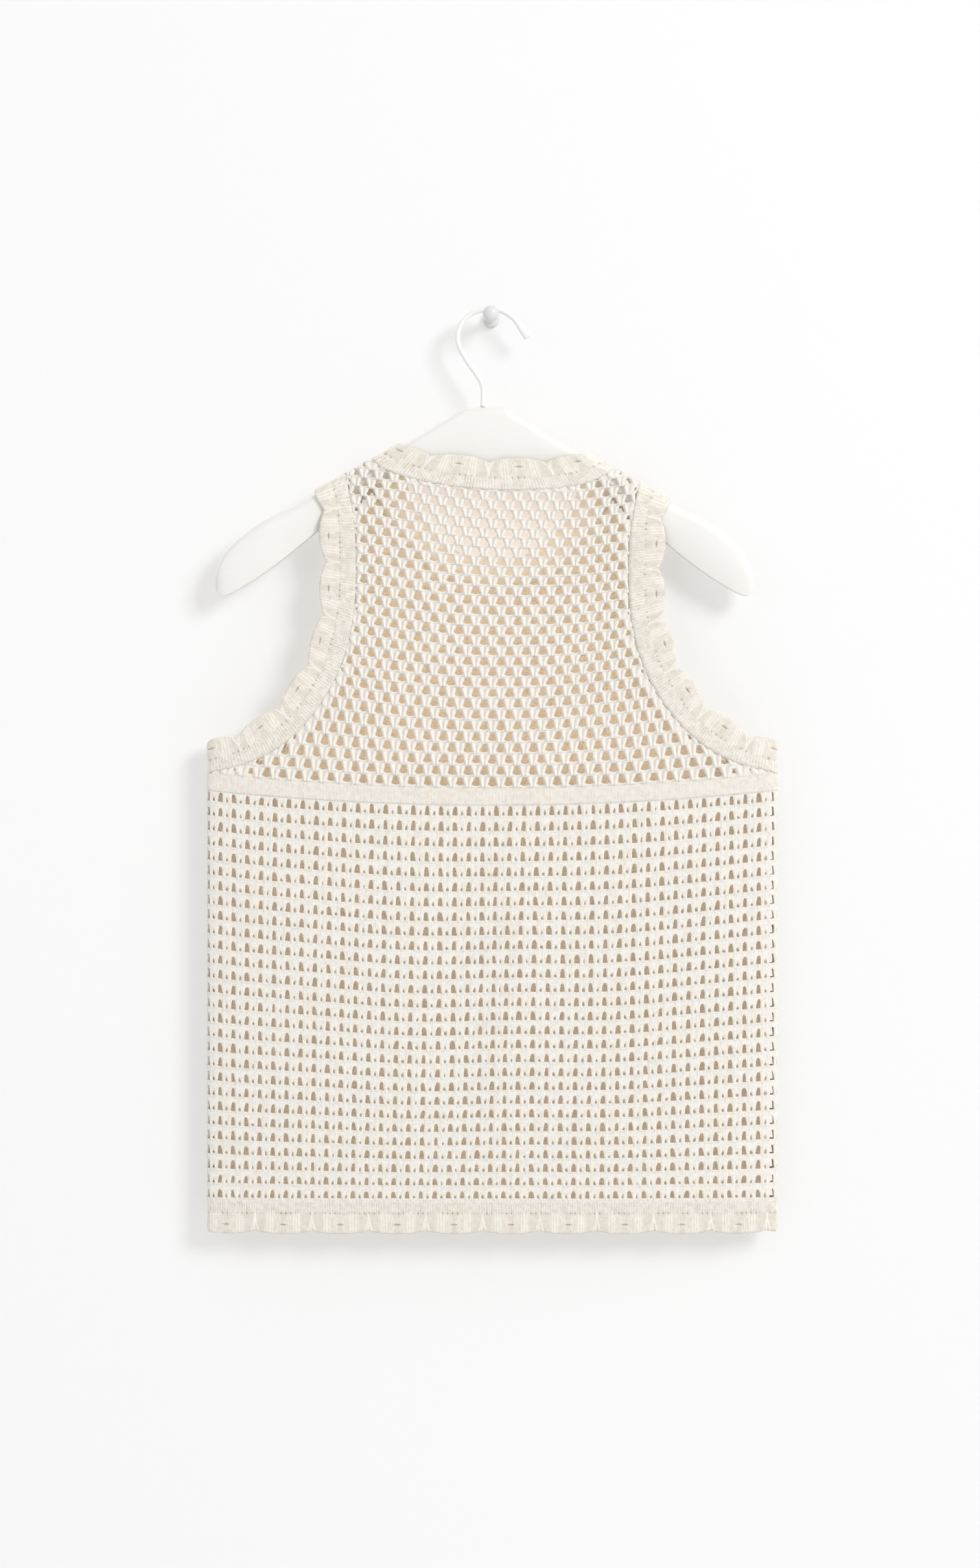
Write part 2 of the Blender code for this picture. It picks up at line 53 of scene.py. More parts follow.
class Layer(Enum):
    """One of the two layers of the top; the back faces the viewer."""

    BACK = -1
    FRONT = 1

    @property
    def word(self) -> str:
        """The layer's name in piece and node names."""
        return self.name.lower()


class Hand(Enum):
    """A side of the top as the viewer sees it."""

    LEFT = -1
    RIGHT = 1

    @property
    def word(self) -> str:
        """The side's name in piece and node names."""
        return self.name.lower()


def smooth_path(points: np.ndarray, steps: int) -> np.ndarray:
    """Reads a Catmull-Rom curve through rows of numbers.

    Args:
        points: rows to pass through, in order.
        steps: rows read for each span.

    Returns:
        The rows along the curve, the last one of points included.
    """
    ends = np.vstack([2 * points[0] - points[1], points, 2 * points[-1] - points[-2]])
    rows = []
    for span in range(len(points) - 1):
        before, start, stop, after = ends[span:span + 4]
        for t in np.arange(steps) / steps:
            rows.append(0.5 * (2 * start + (stop - before) * t
                               + (2 * before - 5 * start + 4 * stop - after) * t ** 2
                               + (3 * start - before - 3 * stop + after) * t ** 3))
    rows.append(points[-1])
    return np.array(rows)


def lengths_along(points: np.ndarray) -> np.ndarray:
    """Length along a line of points, from 0 at its first point."""
    return np.concatenate([[0.0], np.cumsum(np.linalg.norm(np.diff(points, axis=0), axis=1))])


def ease(value: np.ndarray) -> np.ndarray:
    """Soft step from 0 to 1 as value goes from 0 to 1."""
    t = np.clip(value, 0.0, 1.0)
    return t * t * (3 - 2 * t)


def add_object(name: str, data: bpy.types.ID) -> bpy.types.Object:
    """Makes an object and links it to the scene."""
    made = bpy.data.objects.new(name, data)
    bpy.context.scene.collection.objects.link(made)
    return made


@dataclass(frozen=True)
class NeckCurve:
    """Superellipse that one edge of the neck follows."""

    half_width: float
    top: float
    drop: float
    power: float

    def point(self, angle: np.ndarray) -> np.ndarray:
        """Points of the curve, with the angle measured from straight down."""
        across = np.copysign(np.abs(np.sin(angle)) ** (2 / self.power), angle)
        down = np.abs(np.cos(angle)) ** (2 / self.power)
        return np.column_stack([self.half_width * across, self.top - self.drop * down])

    def reach(self, x: np.ndarray, z: np.ndarray) -> np.ndarray:
        """Share of the way from the curve's middle to the curve; above 1 is on the cloth."""
        across = np.abs(x) / self.half_width
        down = np.maximum(self.top - z, 0.0) / self.drop
        return (across ** self.power + down ** self.power) ** (1 / self.power)


@dataclass(frozen=True)
class HungForm:
    """Where the cloth lies as it hangs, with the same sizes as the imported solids."""

    hook_top: float = 0.0028
    hang_y: float = -0.0180
    middle_x: float = 0.0011
    slide: float = 0.0054
    lean_start: float = -0.3000
    lean_full: float = -0.1350
    neck_x: float = 0.0640
    neck_z: float = -0.0945
    slope: float = 0.557
    shoulder_round: float = 0.0097
    fold_half: float = 0.2007
    fold_power: float = 3.5
    layer_gap: float = 0.0003
    depth_heights: tuple[float, ...] = (-0.6500, -0.5000, -0.3300, -0.2000, -0.1300)
    half_depths: tuple[float, ...] = (0.0086, 0.0096, 0.0104, 0.0101, 0.0097)

    def shoulder(self, x: np.ndarray) -> np.ndarray:
        """Height of the shoulder line."""
        return self.neck_z - self.slope * (np.abs(x) - self.neck_x)

    def lean(self, x: np.ndarray, z: np.ndarray) -> np.ndarray:
        """Rise of the left shoulder and drop of the right, as the top has slid a little."""
        fade = ease((z - self.lean_start) / (self.lean_full - self.lean_start))
        return -self.slide * self.slope * np.clip(x / self.neck_x, -1.0, 1.0) * fade

    def place(self, flat: np.ndarray, layer: Layer, height: np.ndarray) -> np.ndarray:
        """Lays front-view points on a layer.

        Args:
            flat: rows of x and z.
            layer: the layer they lie on.
            height: how far each stands out from the cloth's outer face.

        Returns:
            Rows of x, y and z in the frame.
        """
        x, z = flat[:, 0], flat[:, 1]
        half = np.interp(z, self.depth_heights, self.half_depths)
        side = np.minimum(1.0, np.abs(x) / self.fold_half)
        oval = (1 - side ** self.fold_power) ** (1 / self.fold_power)
        below = np.clip((self.shoulder(x) - z) / self.shoulder_round, 0.0, 1.0)
        turn = np.sqrt(1 - (1 - below) ** 2)
        upward = oval ** self.fold_power * (1 - below) / self.shoulder_round
        round_side = side ** (self.fold_power - 1) / self.fold_half * turn ** 2
        outward = np.column_stack([
            np.copysign(round_side + upward * self.slope, x),
            layer.value * oval ** (self.fold_power - 1) * turn / half,
            upward + 1e-9,
        ])
        outward /= np.linalg.norm(outward, axis=1)[:, None]
        y = self.hang_y + layer.value * (self.layer_gap / 2 + half * oval * turn)
        on_face = np.column_stack([self.middle_x + x, y, self.hook_top + z + self.lean(x, z)])
        return on_face + outward * height[:, None]

    def fold_table(self) -> tuple[np.ndarray, np.ndarray]:
        """Widths from the middle to the fold, and the length of cloth that reaches each."""
        angle = np.linspace(0.0, math.pi / 2, 4001)
        across = self.fold_half * np.sin(angle) ** (2 / self.fold_power)
        deep = self.half_depths[2] * np.cos(angle) ** (2 / self.fold_power)
        return across, lengths_along(np.column_stack([across, deep]))

    def half_girth(self) -> float:
        """Length of cloth from the middle of a layer to its side fold."""
        return float(self.fold_table()[1][-1])

    def across(self, length: np.ndarray) -> np.ndarray:
        """Width in the front view at a length of cloth from the middle."""
        widths, lengths = self.fold_table()
        return np.copysign(np.interp(np.abs(length), lengths, widths), length)


@dataclass(frozen=True)
class ArmholeCurve:
    """The free edge and the sewn edge of the armhole trim, from the shoulder to the fold."""

    form: HungForm
    tip_x: float = 0.1260
    net_top_x: float = 0.10372
    rows: tuple[tuple[float, float, float, float], ...] = (
        (0.1225, -0.1500, 0.0975, -0.1500),
        (0.1215, -0.1850, 0.0960, -0.1880),
        (0.1230, -0.2120, 0.0985, -0.2210),
        (0.1295, -0.2380, 0.1060, -0.2490),
        (0.1390, -0.2570, 0.1185, -0.2730),
        (0.1510, -0.2740, 0.1340, -0.2930),
        (0.1650, -0.2860, 0.1520, -0.3080),
        (0.1810, -0.2950, 0.1730, -0.3180),
        (0.2007, -0.3020, 0.2007, -0.3250),
    )

    def edges(self) -> tuple[np.ndarray, np.ndarray]:
        """Front-view points of the free edge and of the sewn edge."""
        top = (self.tip_x, float(self.form.shoulder(np.array(self.tip_x))),
               self.net_top_x, float(self.form.shoulder(np.array(self.net_top_x))))
        path = smooth_path(np.array([top, *self.rows]), 8)
        return path[:, :2], path[:, 2:]

    def net_half_width(self, z: np.ndarray) -> np.ndarray:
        """Half the width of the net at a height, out to the trim's seam."""
        sewn = self.edges()[1][::-1]
        return np.interp(z, sewn[:, 1], sewn[:, 0])


@dataclass
class MeshDraft:
    """Points and faces of one piece, gathered before its mesh is made.

    Each point also has its place in the stitch map, its share of painted shade for the hollows
    and, where a painted glow stands in for light that comes through the cloth, its share of that glow.
    """

    points: np.ndarray
    faces: list[np.ndarray]
    stitches: np.ndarray
    # Share of painted shade at each point, more in the hollows and between parts.
    painted_hollow_shade: np.ndarray
    # Share of a painted glow at each point, standing in for light that comes through the cloth.
    inside: np.ndarray | None = None

    def make(self, name: str) -> bpy.types.Object:
        """Makes the object, with what is known of each of its points.

        Args:
            name: name of the piece.

        Returns:
            The new object, linked to the scene.
        """
        mesh = bpy.data.meshes.new(name)
        corners = np.concatenate([block.ravel() for block in self.faces])
        sizes = np.concatenate([np.full(len(block), block.shape[1]) for block in self.faces])
        starts = np.concatenate([[0], np.cumsum(sizes)[:-1]])
        mesh.vertices.add(len(self.points))
        mesh.vertices.foreach_set("co", self.points.astype(np.float32).ravel())
        mesh.loops.add(len(corners))
        mesh.loops.foreach_set("vertex_index", corners.astype(np.int32))
        mesh.polygons.add(len(sizes))
        mesh.polygons.foreach_set("loop_start", starts.astype(np.int32))
        mesh.update(calc_edges=True)
        mesh.validate()
        corner_point = np.empty(len(mesh.loops), dtype=np.int32)
        mesh.loops.foreach_get("vertex_index", corner_point)
        stitch_map = mesh.uv_layers.new(name="stitches")
        stitch_map.data.foreach_set("uv", self.stitches[corner_point].astype(np.float32).ravel())
        for title, values in (("painted_hollow_shade", self.painted_hollow_shade), ("inside", self.inside)):
            if values is not None:
                kept = mesh.attributes.new(title, "FLOAT", "POINT")
                kept.data.foreach_set("value", values.astype(np.float32))
        mesh.shade_smooth()
        return add_object(name, mesh)


def facing(faces: list[np.ndarray], layer: Layer) -> list[np.ndarray]:
    """Turns faces that were laid for the back layer so that they face out on either layer."""
    return faces if layer is Layer.BACK else [block[:, ::-1] for block in faces]


# Shader maths

class Tone:
    """A shader value that Python operators can be used on."""

    def __init__(self, graph: "Graph", socket: bpy.types.NodeSocket) -> None:
        """Keeps the graph that the socket belongs to."""
        self.graph = graph
        self.socket = socket

    def _math(self, operation: str, *values: "Tone | float") -> "Tone":
        """Adds a Math node for one operation."""
        sockets = dict(enumerate(values))
        node = self.graph.add("ShaderNodeMath", {"operation": operation}, sockets)
        return Tone(self.graph, node.outputs[0])

    def __add__(self, other: "Tone | float") -> "Tone":
        """Sum."""
        return self._math("ADD", self, other)

    def __radd__(self, other: float) -> "Tone":
        """Sum with a number in front."""
        return self._math("ADD", other, self)

    def __sub__(self, other: "Tone | float") -> "Tone":
        """Difference."""
        return self._math("SUBTRACT", self, other)

    def __rsub__(self, other: float) -> "Tone":
        """Difference from a number."""
        return self._math("SUBTRACT", other, self)

    def __mul__(self, other: "Tone | float") -> "Tone":
        """Product."""
        return self._math("MULTIPLY", self, other)

    def __rmul__(self, other: float) -> "Tone":
        """Product with a number in front."""
        return self._math("MULTIPLY", other, self)

    def __truediv__(self, other: "Tone | float") -> "Tone":
        """Quotient."""
        return self._math("DIVIDE", self, other)

    def __pow__(self, other: "Tone | float") -> "Tone":
        """Power."""
        return self._math("POWER", self, other)

    def __abs__(self) -> "Tone":
        """Size without its sign."""
        return self._math("ABSOLUTE", self)

    def fraction(self) -> "Tone":
        """Part after the decimal point."""
        return self._math("FRACT", self)

    def sine(self) -> "Tone":
        """Sine of an angle in radians."""
        return self._math("SINE", self)

    def at_most(self, other: "Tone | float") -> "Tone":
        """The smaller of two values."""
        return self._math("MINIMUM", self, other)

    def at_least(self, other: "Tone | float") -> "Tone":
        """The larger of two values."""
        return self._math("MAXIMUM", self, other)

    def between(self, low: float, high: float) -> "Tone":
        """Soft step from 0 at low to 1 at high."""
        node = self.graph.add("ShaderNodeMapRange", {"interpolation_type": "SMOOTHSTEP"},
                              {0: self, 1: low, 2: high})
        return Tone(self.graph, node.outputs[0])


class Graph:
    """Node tree of one material, with its Principled shader."""

    def __init__(self, name: str) -> None:
        """Makes the material and finds its shader."""
        self.material = bpy.data.materials.new(name)
        self.material.use_nodes = True
        self.tree = self.material.node_tree
        self.shader = self.tree.nodes["Principled BSDF"]

    def join(self, target: bpy.types.NodeSocket, value: object) -> None:
        """Links a value to a socket, or sets it there."""
        if isinstance(value, Tone):
            self.tree.links.new(value.socket, target)
        elif isinstance(value, bpy.types.NodeSocket):
            self.tree.links.new(value, target)
        else:
            target.default_value = value

    def feed(self, sockets: dict[str, object]) -> None:
        """Links or sets inputs of the material's shader, by name."""
        for name, value in sockets.items():
            self.join(self.shader.inputs[name], value)

    def add(self, kind: str, settings: dict[str, object] | None = None,
            sockets: dict[int | str, object] | None = None) -> bpy.types.Node:
        """Adds one node.

        Args:
            kind: Blender's name of the node's type.
            settings: properties of the node, set before its sockets.
            sockets: values or links of its inputs, by name or by number.

        Returns:
            The new node.
        """
        node = self.tree.nodes.new(kind)
        for key, setting in (settings or {}).items():
            setattr(node, key, setting)
        for key, value in (sockets or {}).items():
            self.join(node.inputs[key], value)
        return node

    def place(self) -> bpy.types.NodeSocket:
        """Position on the object."""
        return self.add("ShaderNodeTexCoord").outputs["Object"]

    def noise(self, scale: float, detail: float = 2.0,
              stretch: tuple[float, float, float] = (1, 1, 1)) -> Tone:
        """Soft noise from 0 to 1 over the object's own space.

        Args:
            scale: how many times the noise repeats in a metre.
            detail: count of finer layers that are added to it.
            stretch: factors on the three axes; a larger one makes the noise finer there.

        Returns:
            The noise.
        """
        spread = self.add("ShaderNodeVectorMath", {"operation": "MULTIPLY"},
                          {0: self.place(), 1: stretch})
        node = self.add("ShaderNodeTexNoise", {},
                        {"Vector": spread.outputs[0], "Scale": scale, "Detail": detail})
        return Tone(self, node.outputs["Fac"])

    def blend(self, share: "Tone | float", first: object, second: object) -> bpy.types.NodeSocket:
        """Mixes two colours by a share."""
        node = self.add("ShaderNodeMix", {"data_type": "RGBA"}, {0: share, 6: first, 7: second})
        return node.outputs[2]

    def stitch_map(self) -> tuple[Tone, Tone]:
        """The two counts of the stitch map, wales across and courses up."""
        uv = self.add("ShaderNodeUVMap", {"uv_map": "stitches"})
        parts = self.add("ShaderNodeSeparateXYZ", {}, {0: uv.outputs[0]})
        return Tone(self, parts.outputs[0]), Tone(self, parts.outputs[1])

    def attribute(self, name: str) -> Tone:
        """A number that the mesh itself keeps at each point."""
        return Tone(self, self.add("ShaderNodeAttribute", {"attribute_name": name}).outputs["Fac"])

    def bump(self, height: Tone, distance: float) -> None:
        """Feeds a height, counted in steps of a distance, to the shader's normal."""
        node = self.add("ShaderNodeBump", {}, {"Height": height, "Distance": distance})
        self.feed({"Normal": node.outputs[0]})


def paint(red: float, green: float, blue: float) -> tuple[float, float, float, float]:
    """Colour socket value from linear red, green and blue."""
    return (red, green, blue, 1.0)


# Size of one cell of the yoke's net, and of one stitch on it, in millimetres of the pattern.
# The yoke's mesh and the leaves that its material draws over it both follow them.
LEAF_CELL = (11.2, 7.6)
LEAF_STITCH = (2.2, 1.5)


@dataclass(frozen=True)
class YarnFinish:
    """Knitted yarn: looped stitches, heather flecks and painted shade in the hollows.

    The shades are shares of the way to the dark colour, painted shade for the hollows, between the
    stitches and round the leaves; the through colour is a painted glow on inner faces that stands in
    for light coming through the cloth. Heights are counted in loops. The last six say how the
    yoke's leaves are drawn, with their sizes in millimetres of the pattern.
    """

    name: str
    light: tuple[float, float, float, float]
    shade: tuple[float, float, float, float]
    fleck: tuple[float, float, float, float] = paint(0.74, 0.58, 0.47)
    loop_height: float = 0.00035
    leg_slant: float = 0.9
    wander: float = 0.7
    # Shares of painted shade between the stitches and in the hollows.
    stitch_shade: float = 0.75
    hollow_shade: float = 0.7
    fleck_share: float = 0.40
    # Colour and strength of a painted glow on inner faces, for light that comes through the cloth.
    through: tuple[float, float, float, float] = paint(1.0, 0.80, 0.55)
    painted_glow_strength: float = 0.42
    row_courses: int = 0
    rib_course: float = 0.0
    band_share: float = 0.75
    # Share of painted shade on the ground between the leaves.
    leaf_shade: float = 0.0
    leaf_rise: float = 0.9
    leaf_out: float = 3.8
    leaf_lean: float = 2.05
    leaf_half: float = 1.50
    leaf_taper: float = 2.1

    def loops(self, graph: Graph) -> Tone:
        """Height of one V shaped stitch for each whole step of the stitch map.

        Args:
            graph: the material's nodes.

        Returns:
            Height from 0 between the stitches to 1 on the yarn.
        """
        wale, course = graph.stitch_map()
        wander = (graph.noise(420.0, 1.0) - 0.5) * self.wander
        stray = (graph.noise(300.0, 1.0) - 0.5) * self.wander * 0.5
        from_middle = abs((wale + stray).fraction() * 2.0 - 1.0)
        along = (course + wander - from_middle * self.leg_slant).fraction()
        across_leg = (from_middle * math.pi).sine()
        along_leg = (along * math.pi).sine()
        return across_leg.at_least(0.0) ** 0.6 * along_leg.at_least(0.0) ** 0.5

    def course_edge(self, graph: Graph) -> "Tone | float":
        """Rolled edge at the foot of each plain course of the body, in loop heights."""
        if not self.row_courses:
            return 0.0
        _, course = graph.stitch_map()
        wobble = (graph.noise(120.0, 2.0) - 0.5) * 0.06
        up = (course / self.row_courses + wobble).fraction()
        return up.between(0.16, 0.29) * (1.0 - up.between(0.33, 0.37)) * 0.9

    def leaves(self, graph: Graph) -> Tone:
        """Height of the yoke's leaf stitches, drawn over the cells of its net.

        Args:
            graph: the material's nodes.

        Returns:
            Height from 0 on the ground to 1 on the middle of a leaf.
        """
        wale, course = graph.stitch_map()
        row = course * (LEAF_STITCH[1] / LEAF_CELL[1])
        up = row.fraction() - 0.5
        column = wale * (LEAF_STITCH[0] / LEAF_CELL[0]) - (row - row.fraction()) * 0.5
        across = abs((column + 0.5).fraction() - 0.5) * LEAF_CELL[0]
        lean = across - self.leaf_out + up * self.leaf_lean
        wobble = (graph.noise(500.0, 1.0) - 0.5) * 0.5
        away = (lean + wobble) / (self.leaf_half - self.leaf_taper * up * up)
        strands = abs((lean * 0.95 + 0.25).fraction() * 2.0 - 1.0)
        ends = 1.0 - abs(up).between(0.36, 0.52) * 0.6
        return (1.0 - away * away).at_least(0.0) * ends * (0.82 + strands * 0.18)

    def material(self) -> bpy.types.Material:
        """Makes the material's nodes."""
        graph = Graph(self.name)
        loops = self.loops(graph)
        if self.rib_course:
            _, course = graph.stitch_map()
            in_rib = course.between(self.rib_course - 0.3, self.rib_course + 0.3)
            loops = 1.0 - (1.0 - loops) * (self.band_share + in_rib * (1.0 - self.band_share))
        fuzz = graph.noise(2600.0, 3.0)
        dye = graph.noise(55.0, 3.0)
        specks = graph.noise(900.0, 2.0, (1.0, 1.0, 1.7)).between(0.60, 0.74)
        # Painted shade: the hollows, the spaces between stitches and the ground between leaves are mixed
        # towards the shade colour.
        painted_hollow_shade = graph.attribute("painted_hollow_shade")
        uneven = graph.noise(300.0, 2.0).between(0.35, 0.70)
        painted_gap_shade = (1.0 - loops) ** 2.0 * (0.30 + uneven * 1.3)
        depth = painted_gap_shade * self.stitch_shade + painted_hollow_shade * self.hollow_shade
        height = loops + fuzz * 0.25 + self.course_edge(graph)
        if self.leaf_shade:
            leaves = self.leaves(graph)
            depth = depth + (1.0 - leaves) ** 2.0 * self.leaf_shade
            height = loops * 0.45 + fuzz * 0.25 + leaves * self.leaf_rise
        depth = depth.at_most(1.0)
        yarn = graph.blend(depth, self.light, self.shade)
        tinted = graph.blend(specks * self.fleck_share * (0.4 + dye), yarn, self.fleck)
        # Painted glow: points marked inside glow in the through colour, standing in for light that comes
        # through the cloth.
        inner = graph.blend(graph.attribute("inside"), paint(0.0, 0.0, 0.0), self.through)
        graph.feed({"Base Color": tinted, "Roughness": 0.78 + fuzz * 0.2,
                    "Emission Color": inner, "Emission Strength": self.painted_glow_strength,
                    "Specular IOR Level": 0.25, "Sheen Weight": 0.25, "Sheen Roughness": 0.5,
                    "Subsurface Weight": 0.25, "Subsurface Radius": (1.0, 0.85, 0.65),
                    "Subsurface Scale": 0.0008})
        graph.bump(height, self.loop_height)
        return graph.material


@dataclass(frozen=True)
class JerseyFinish:
    """Plain fine jersey of the lining, with painted shade between its stitches and a painted glow for
    light that comes through it.
    """

    name: str = "tan_jersey"
    light: tuple[float, float, float, float] = paint(0.82, 0.715, 0.575)
    shade: tuple[float, float, float, float] = paint(0.50, 0.395, 0.28)
    glow: float = 0.33
    loop_height: float = 0.0002

    def material(self) -> bpy.types.Material:
        """Makes the material's nodes."""
        graph = Graph(self.name)
        wale, course = graph.stitch_map()
        from_middle = abs(wale.fraction() * 2.0 - 1.0)
        along = (course - from_middle * 0.8).fraction()
        loops = (along * math.pi).sine() * (from_middle * math.pi).sine()
        mottle = graph.noise(700.0, 3.0).between(0.35, 0.7)
        # Painted shade between the stitches, mixed with random mottle; the same colour also glows as
        # painted light.
        colour = graph.blend((1.0 - loops) * 0.45 + mottle * 0.45, self.light, self.shade)
        graph.feed({"Base Color": colour, "Roughness": 0.75 + mottle * 0.15,
                    "Emission Color": colour, "Emission Strength": self.glow,
                    "Specular IOR Level": 0.2})
        graph.bump(loops, self.loop_height)
        return graph.material


@dataclass(frozen=True)
class PaintFinish:
    """Sprayed white paint on wood, plastic or wire, with the height of its grain."""

    name: str
    colour: tuple[float, float, float, float]
    worn: tuple[float, float, float, float]
    roughness: float
    grain: float
    stretch: tuple[float, float, float] = (1.0, 1.0, 1.0)
    coat: float = 0.25

    def material(self) -> bpy.types.Material:
        """Makes the material's nodes."""
        graph = Graph(self.name)
        grain = graph.noise(260.0, 4.0, self.stretch)
        cloud = graph.noise(30.0, 2.0)
        peel = graph.noise(1500.0, 2.0)
        edge = graph.add("ShaderNodeNewGeometry").outputs["Pointiness"]
        rub = Tone(graph, edge).between(0.50, 0.58) * 0.5
        tone = graph.blend(cloud * 0.35 + grain * 0.25 + rub, self.colour, self.worn)
        graph.feed({"Base Color": tone, "Coat Weight": self.coat, "Coat Roughness": 0.2,
                    "Roughness": self.roughness + grain * 0.12 + cloud * 0.06})
        graph.bump(grain * 0.7 + peel * 0.3, self.grain)
        return graph.material


def dress(piece: bpy.types.Object, material: bpy.types.Material, slot: str,
          *nodes: str) -> bpy.types.Object:
    """Gives a piece its material and the body that it rides, and hides the nodes it stands for.

    Args:
        piece: the piece.
        material: its only material.
        slot: not used.
        nodes: the part's nodes that the piece replaces.

    Returns:
        The same piece.
    """
    piece.data.materials.clear()
    piece.data.materials.append(material)
    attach(piece, "root")
    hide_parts(*nodes)
    return piece


# Nets


# Mark of the points on a cell's outer border, and the steps in a millimetre within which two
# points of neighbouring cells are one
OUTER_BORDER = 99
WELD_STEPS = 50


@dataclass
class HoleRing:
    """Rings of points from a hole's edge out to the border of the cell that holds it.

    Points run round the hole, from the middle of its top to the right. The middle is the
    hole's own middle, which the outline shrinks towards.
    """

    outline: np.ndarray
    border: np.ndarray
    middle: np.ndarray
    shares: tuple[float, ...]
    relief: Callable[[np.ndarray, np.ndarray], np.ndarray]
    wall: float
    lip: float

    def rings(self) -> np.ndarray:
        """Rings from the inner face's border, through the hole, to the outer face's border.

        Returns:
            Array of rings, points and (x, z, height).
        """
        blocks = [np.column_stack([self.border, np.full(len(self.border), -self.wall)]),
                  np.column_stack([self.outline, np.full(len(self.border), -self.wall * 0.8)])]
        for index, share in enumerate(self.shares):
            flat = self.outline + (self.border - self.outline) * share
            height = self.relief(flat[:, 0], flat[:, 1]) - (self.lip if index == 0 else 0.0)
            blocks.append(np.column_stack([flat, height]))
        return np.array(blocks)


@dataclass
class NetDraft:
    """Cells of a net, laid out in millimetres of the pattern and then joined."""

    blocks: list[np.ndarray] = field(default_factory=list)
    quads: list[np.ndarray] = field(default_factory=list)
    kinds: list[np.ndarray] = field(default_factory=list)
    count: int = 0

    def lay(self, hole: HoleRing, centres: np.ndarray, size: np.ndarray, slant: np.ndarray) -> None:
        """Lays one hole in every cell.

        Args:
            hole: the rings of the hole.
            centres: middles of the cells, in millimetres.
            size: share of its full size that each hole opens to, across and up.
            slant: sideways lean of each hole, per length up.
        """
        rings = hole.rings()
        ring_count, around = rings.shape[:2]
        fade = np.array([0.0, 1.0, *(1.0 - share for share in hole.shares)])
        offset = rings[..., :2] - hole.middle
        shrink = 1.0 - (1.0 - size[:, None, None, :]) * fade[None, :, None, None]
        flat = hole.middle + offset[None] * shrink + centres[:, None, None, :]
        flat[..., 0] += slant[:, None, None] * offset[None, ..., 1] * fade[None, :, None]
        height = np.broadcast_to(rings[..., 2], flat.shape[:3])
        self.blocks.append(np.concatenate([flat, height[..., None]], axis=-1).reshape(-1, 3))
        ring_kind = np.broadcast_to(np.arange(ring_count)[:, None], (ring_count, around))
        kind = np.broadcast_to(ring_kind, flat.shape[:3]).reshape(-1).copy()
        kind[kind == ring_count - 1] = OUTER_BORDER
        self.kinds.append(kind)
        start = np.arange(len(centres))[:, None, None] * ring_count * around + self.count
        ring = np.arange(ring_count - 1)[None, :, None] * around
        here = np.arange(around)[None, None, :]
        after = (here + 1) % around
        quads = np.stack([start + ring + here, start + ring + after,
                          start + ring + around + after, start + ring + around + here], axis=-1)
        self.quads.append(quads.reshape(-1, 4))
        self.count += len(centres) * ring_count * around

    def weld(self) -> tuple[np.ndarray, np.ndarray]:
        """Joins the cells where their borders meet.

        Returns:
            Points as (x, z, height) in millimetres, and the faces.
        """
        points = np.concatenate(self.blocks)
        kinds = np.concatenate(self.kinds)
        keys = np.column_stack([np.round(points[:, :2] * WELD_STEPS), kinds]).astype(np.int64)
        _, first, place = np.unique(keys, axis=0, return_index=True, return_inverse=True)
        return points[first], place.reshape(-1)[np.concatenate(self.quads)]


def mirrored(half: tuple[tuple[float, float], ...]) -> np.ndarray:
    """Whole outline from its right half, which runs from the top middle to the bottom middle."""
    right = np.array(half)
    left = right[-2:0:-1] * (-1.0, 1.0)
    return np.vstack([right, left])


def drop_slivers(points: np.ndarray, quads: np.ndarray, least: float = 2e-9) -> np.ndarray:
    """Leaves out faces that a clamped border has pressed flat."""
    corners = points[quads]
    across = np.cross(corners[:, 2] - corners[:, 0], corners[:, 3] - corners[:, 1])
    return quads[np.linalg.norm(across, axis=1) > least]


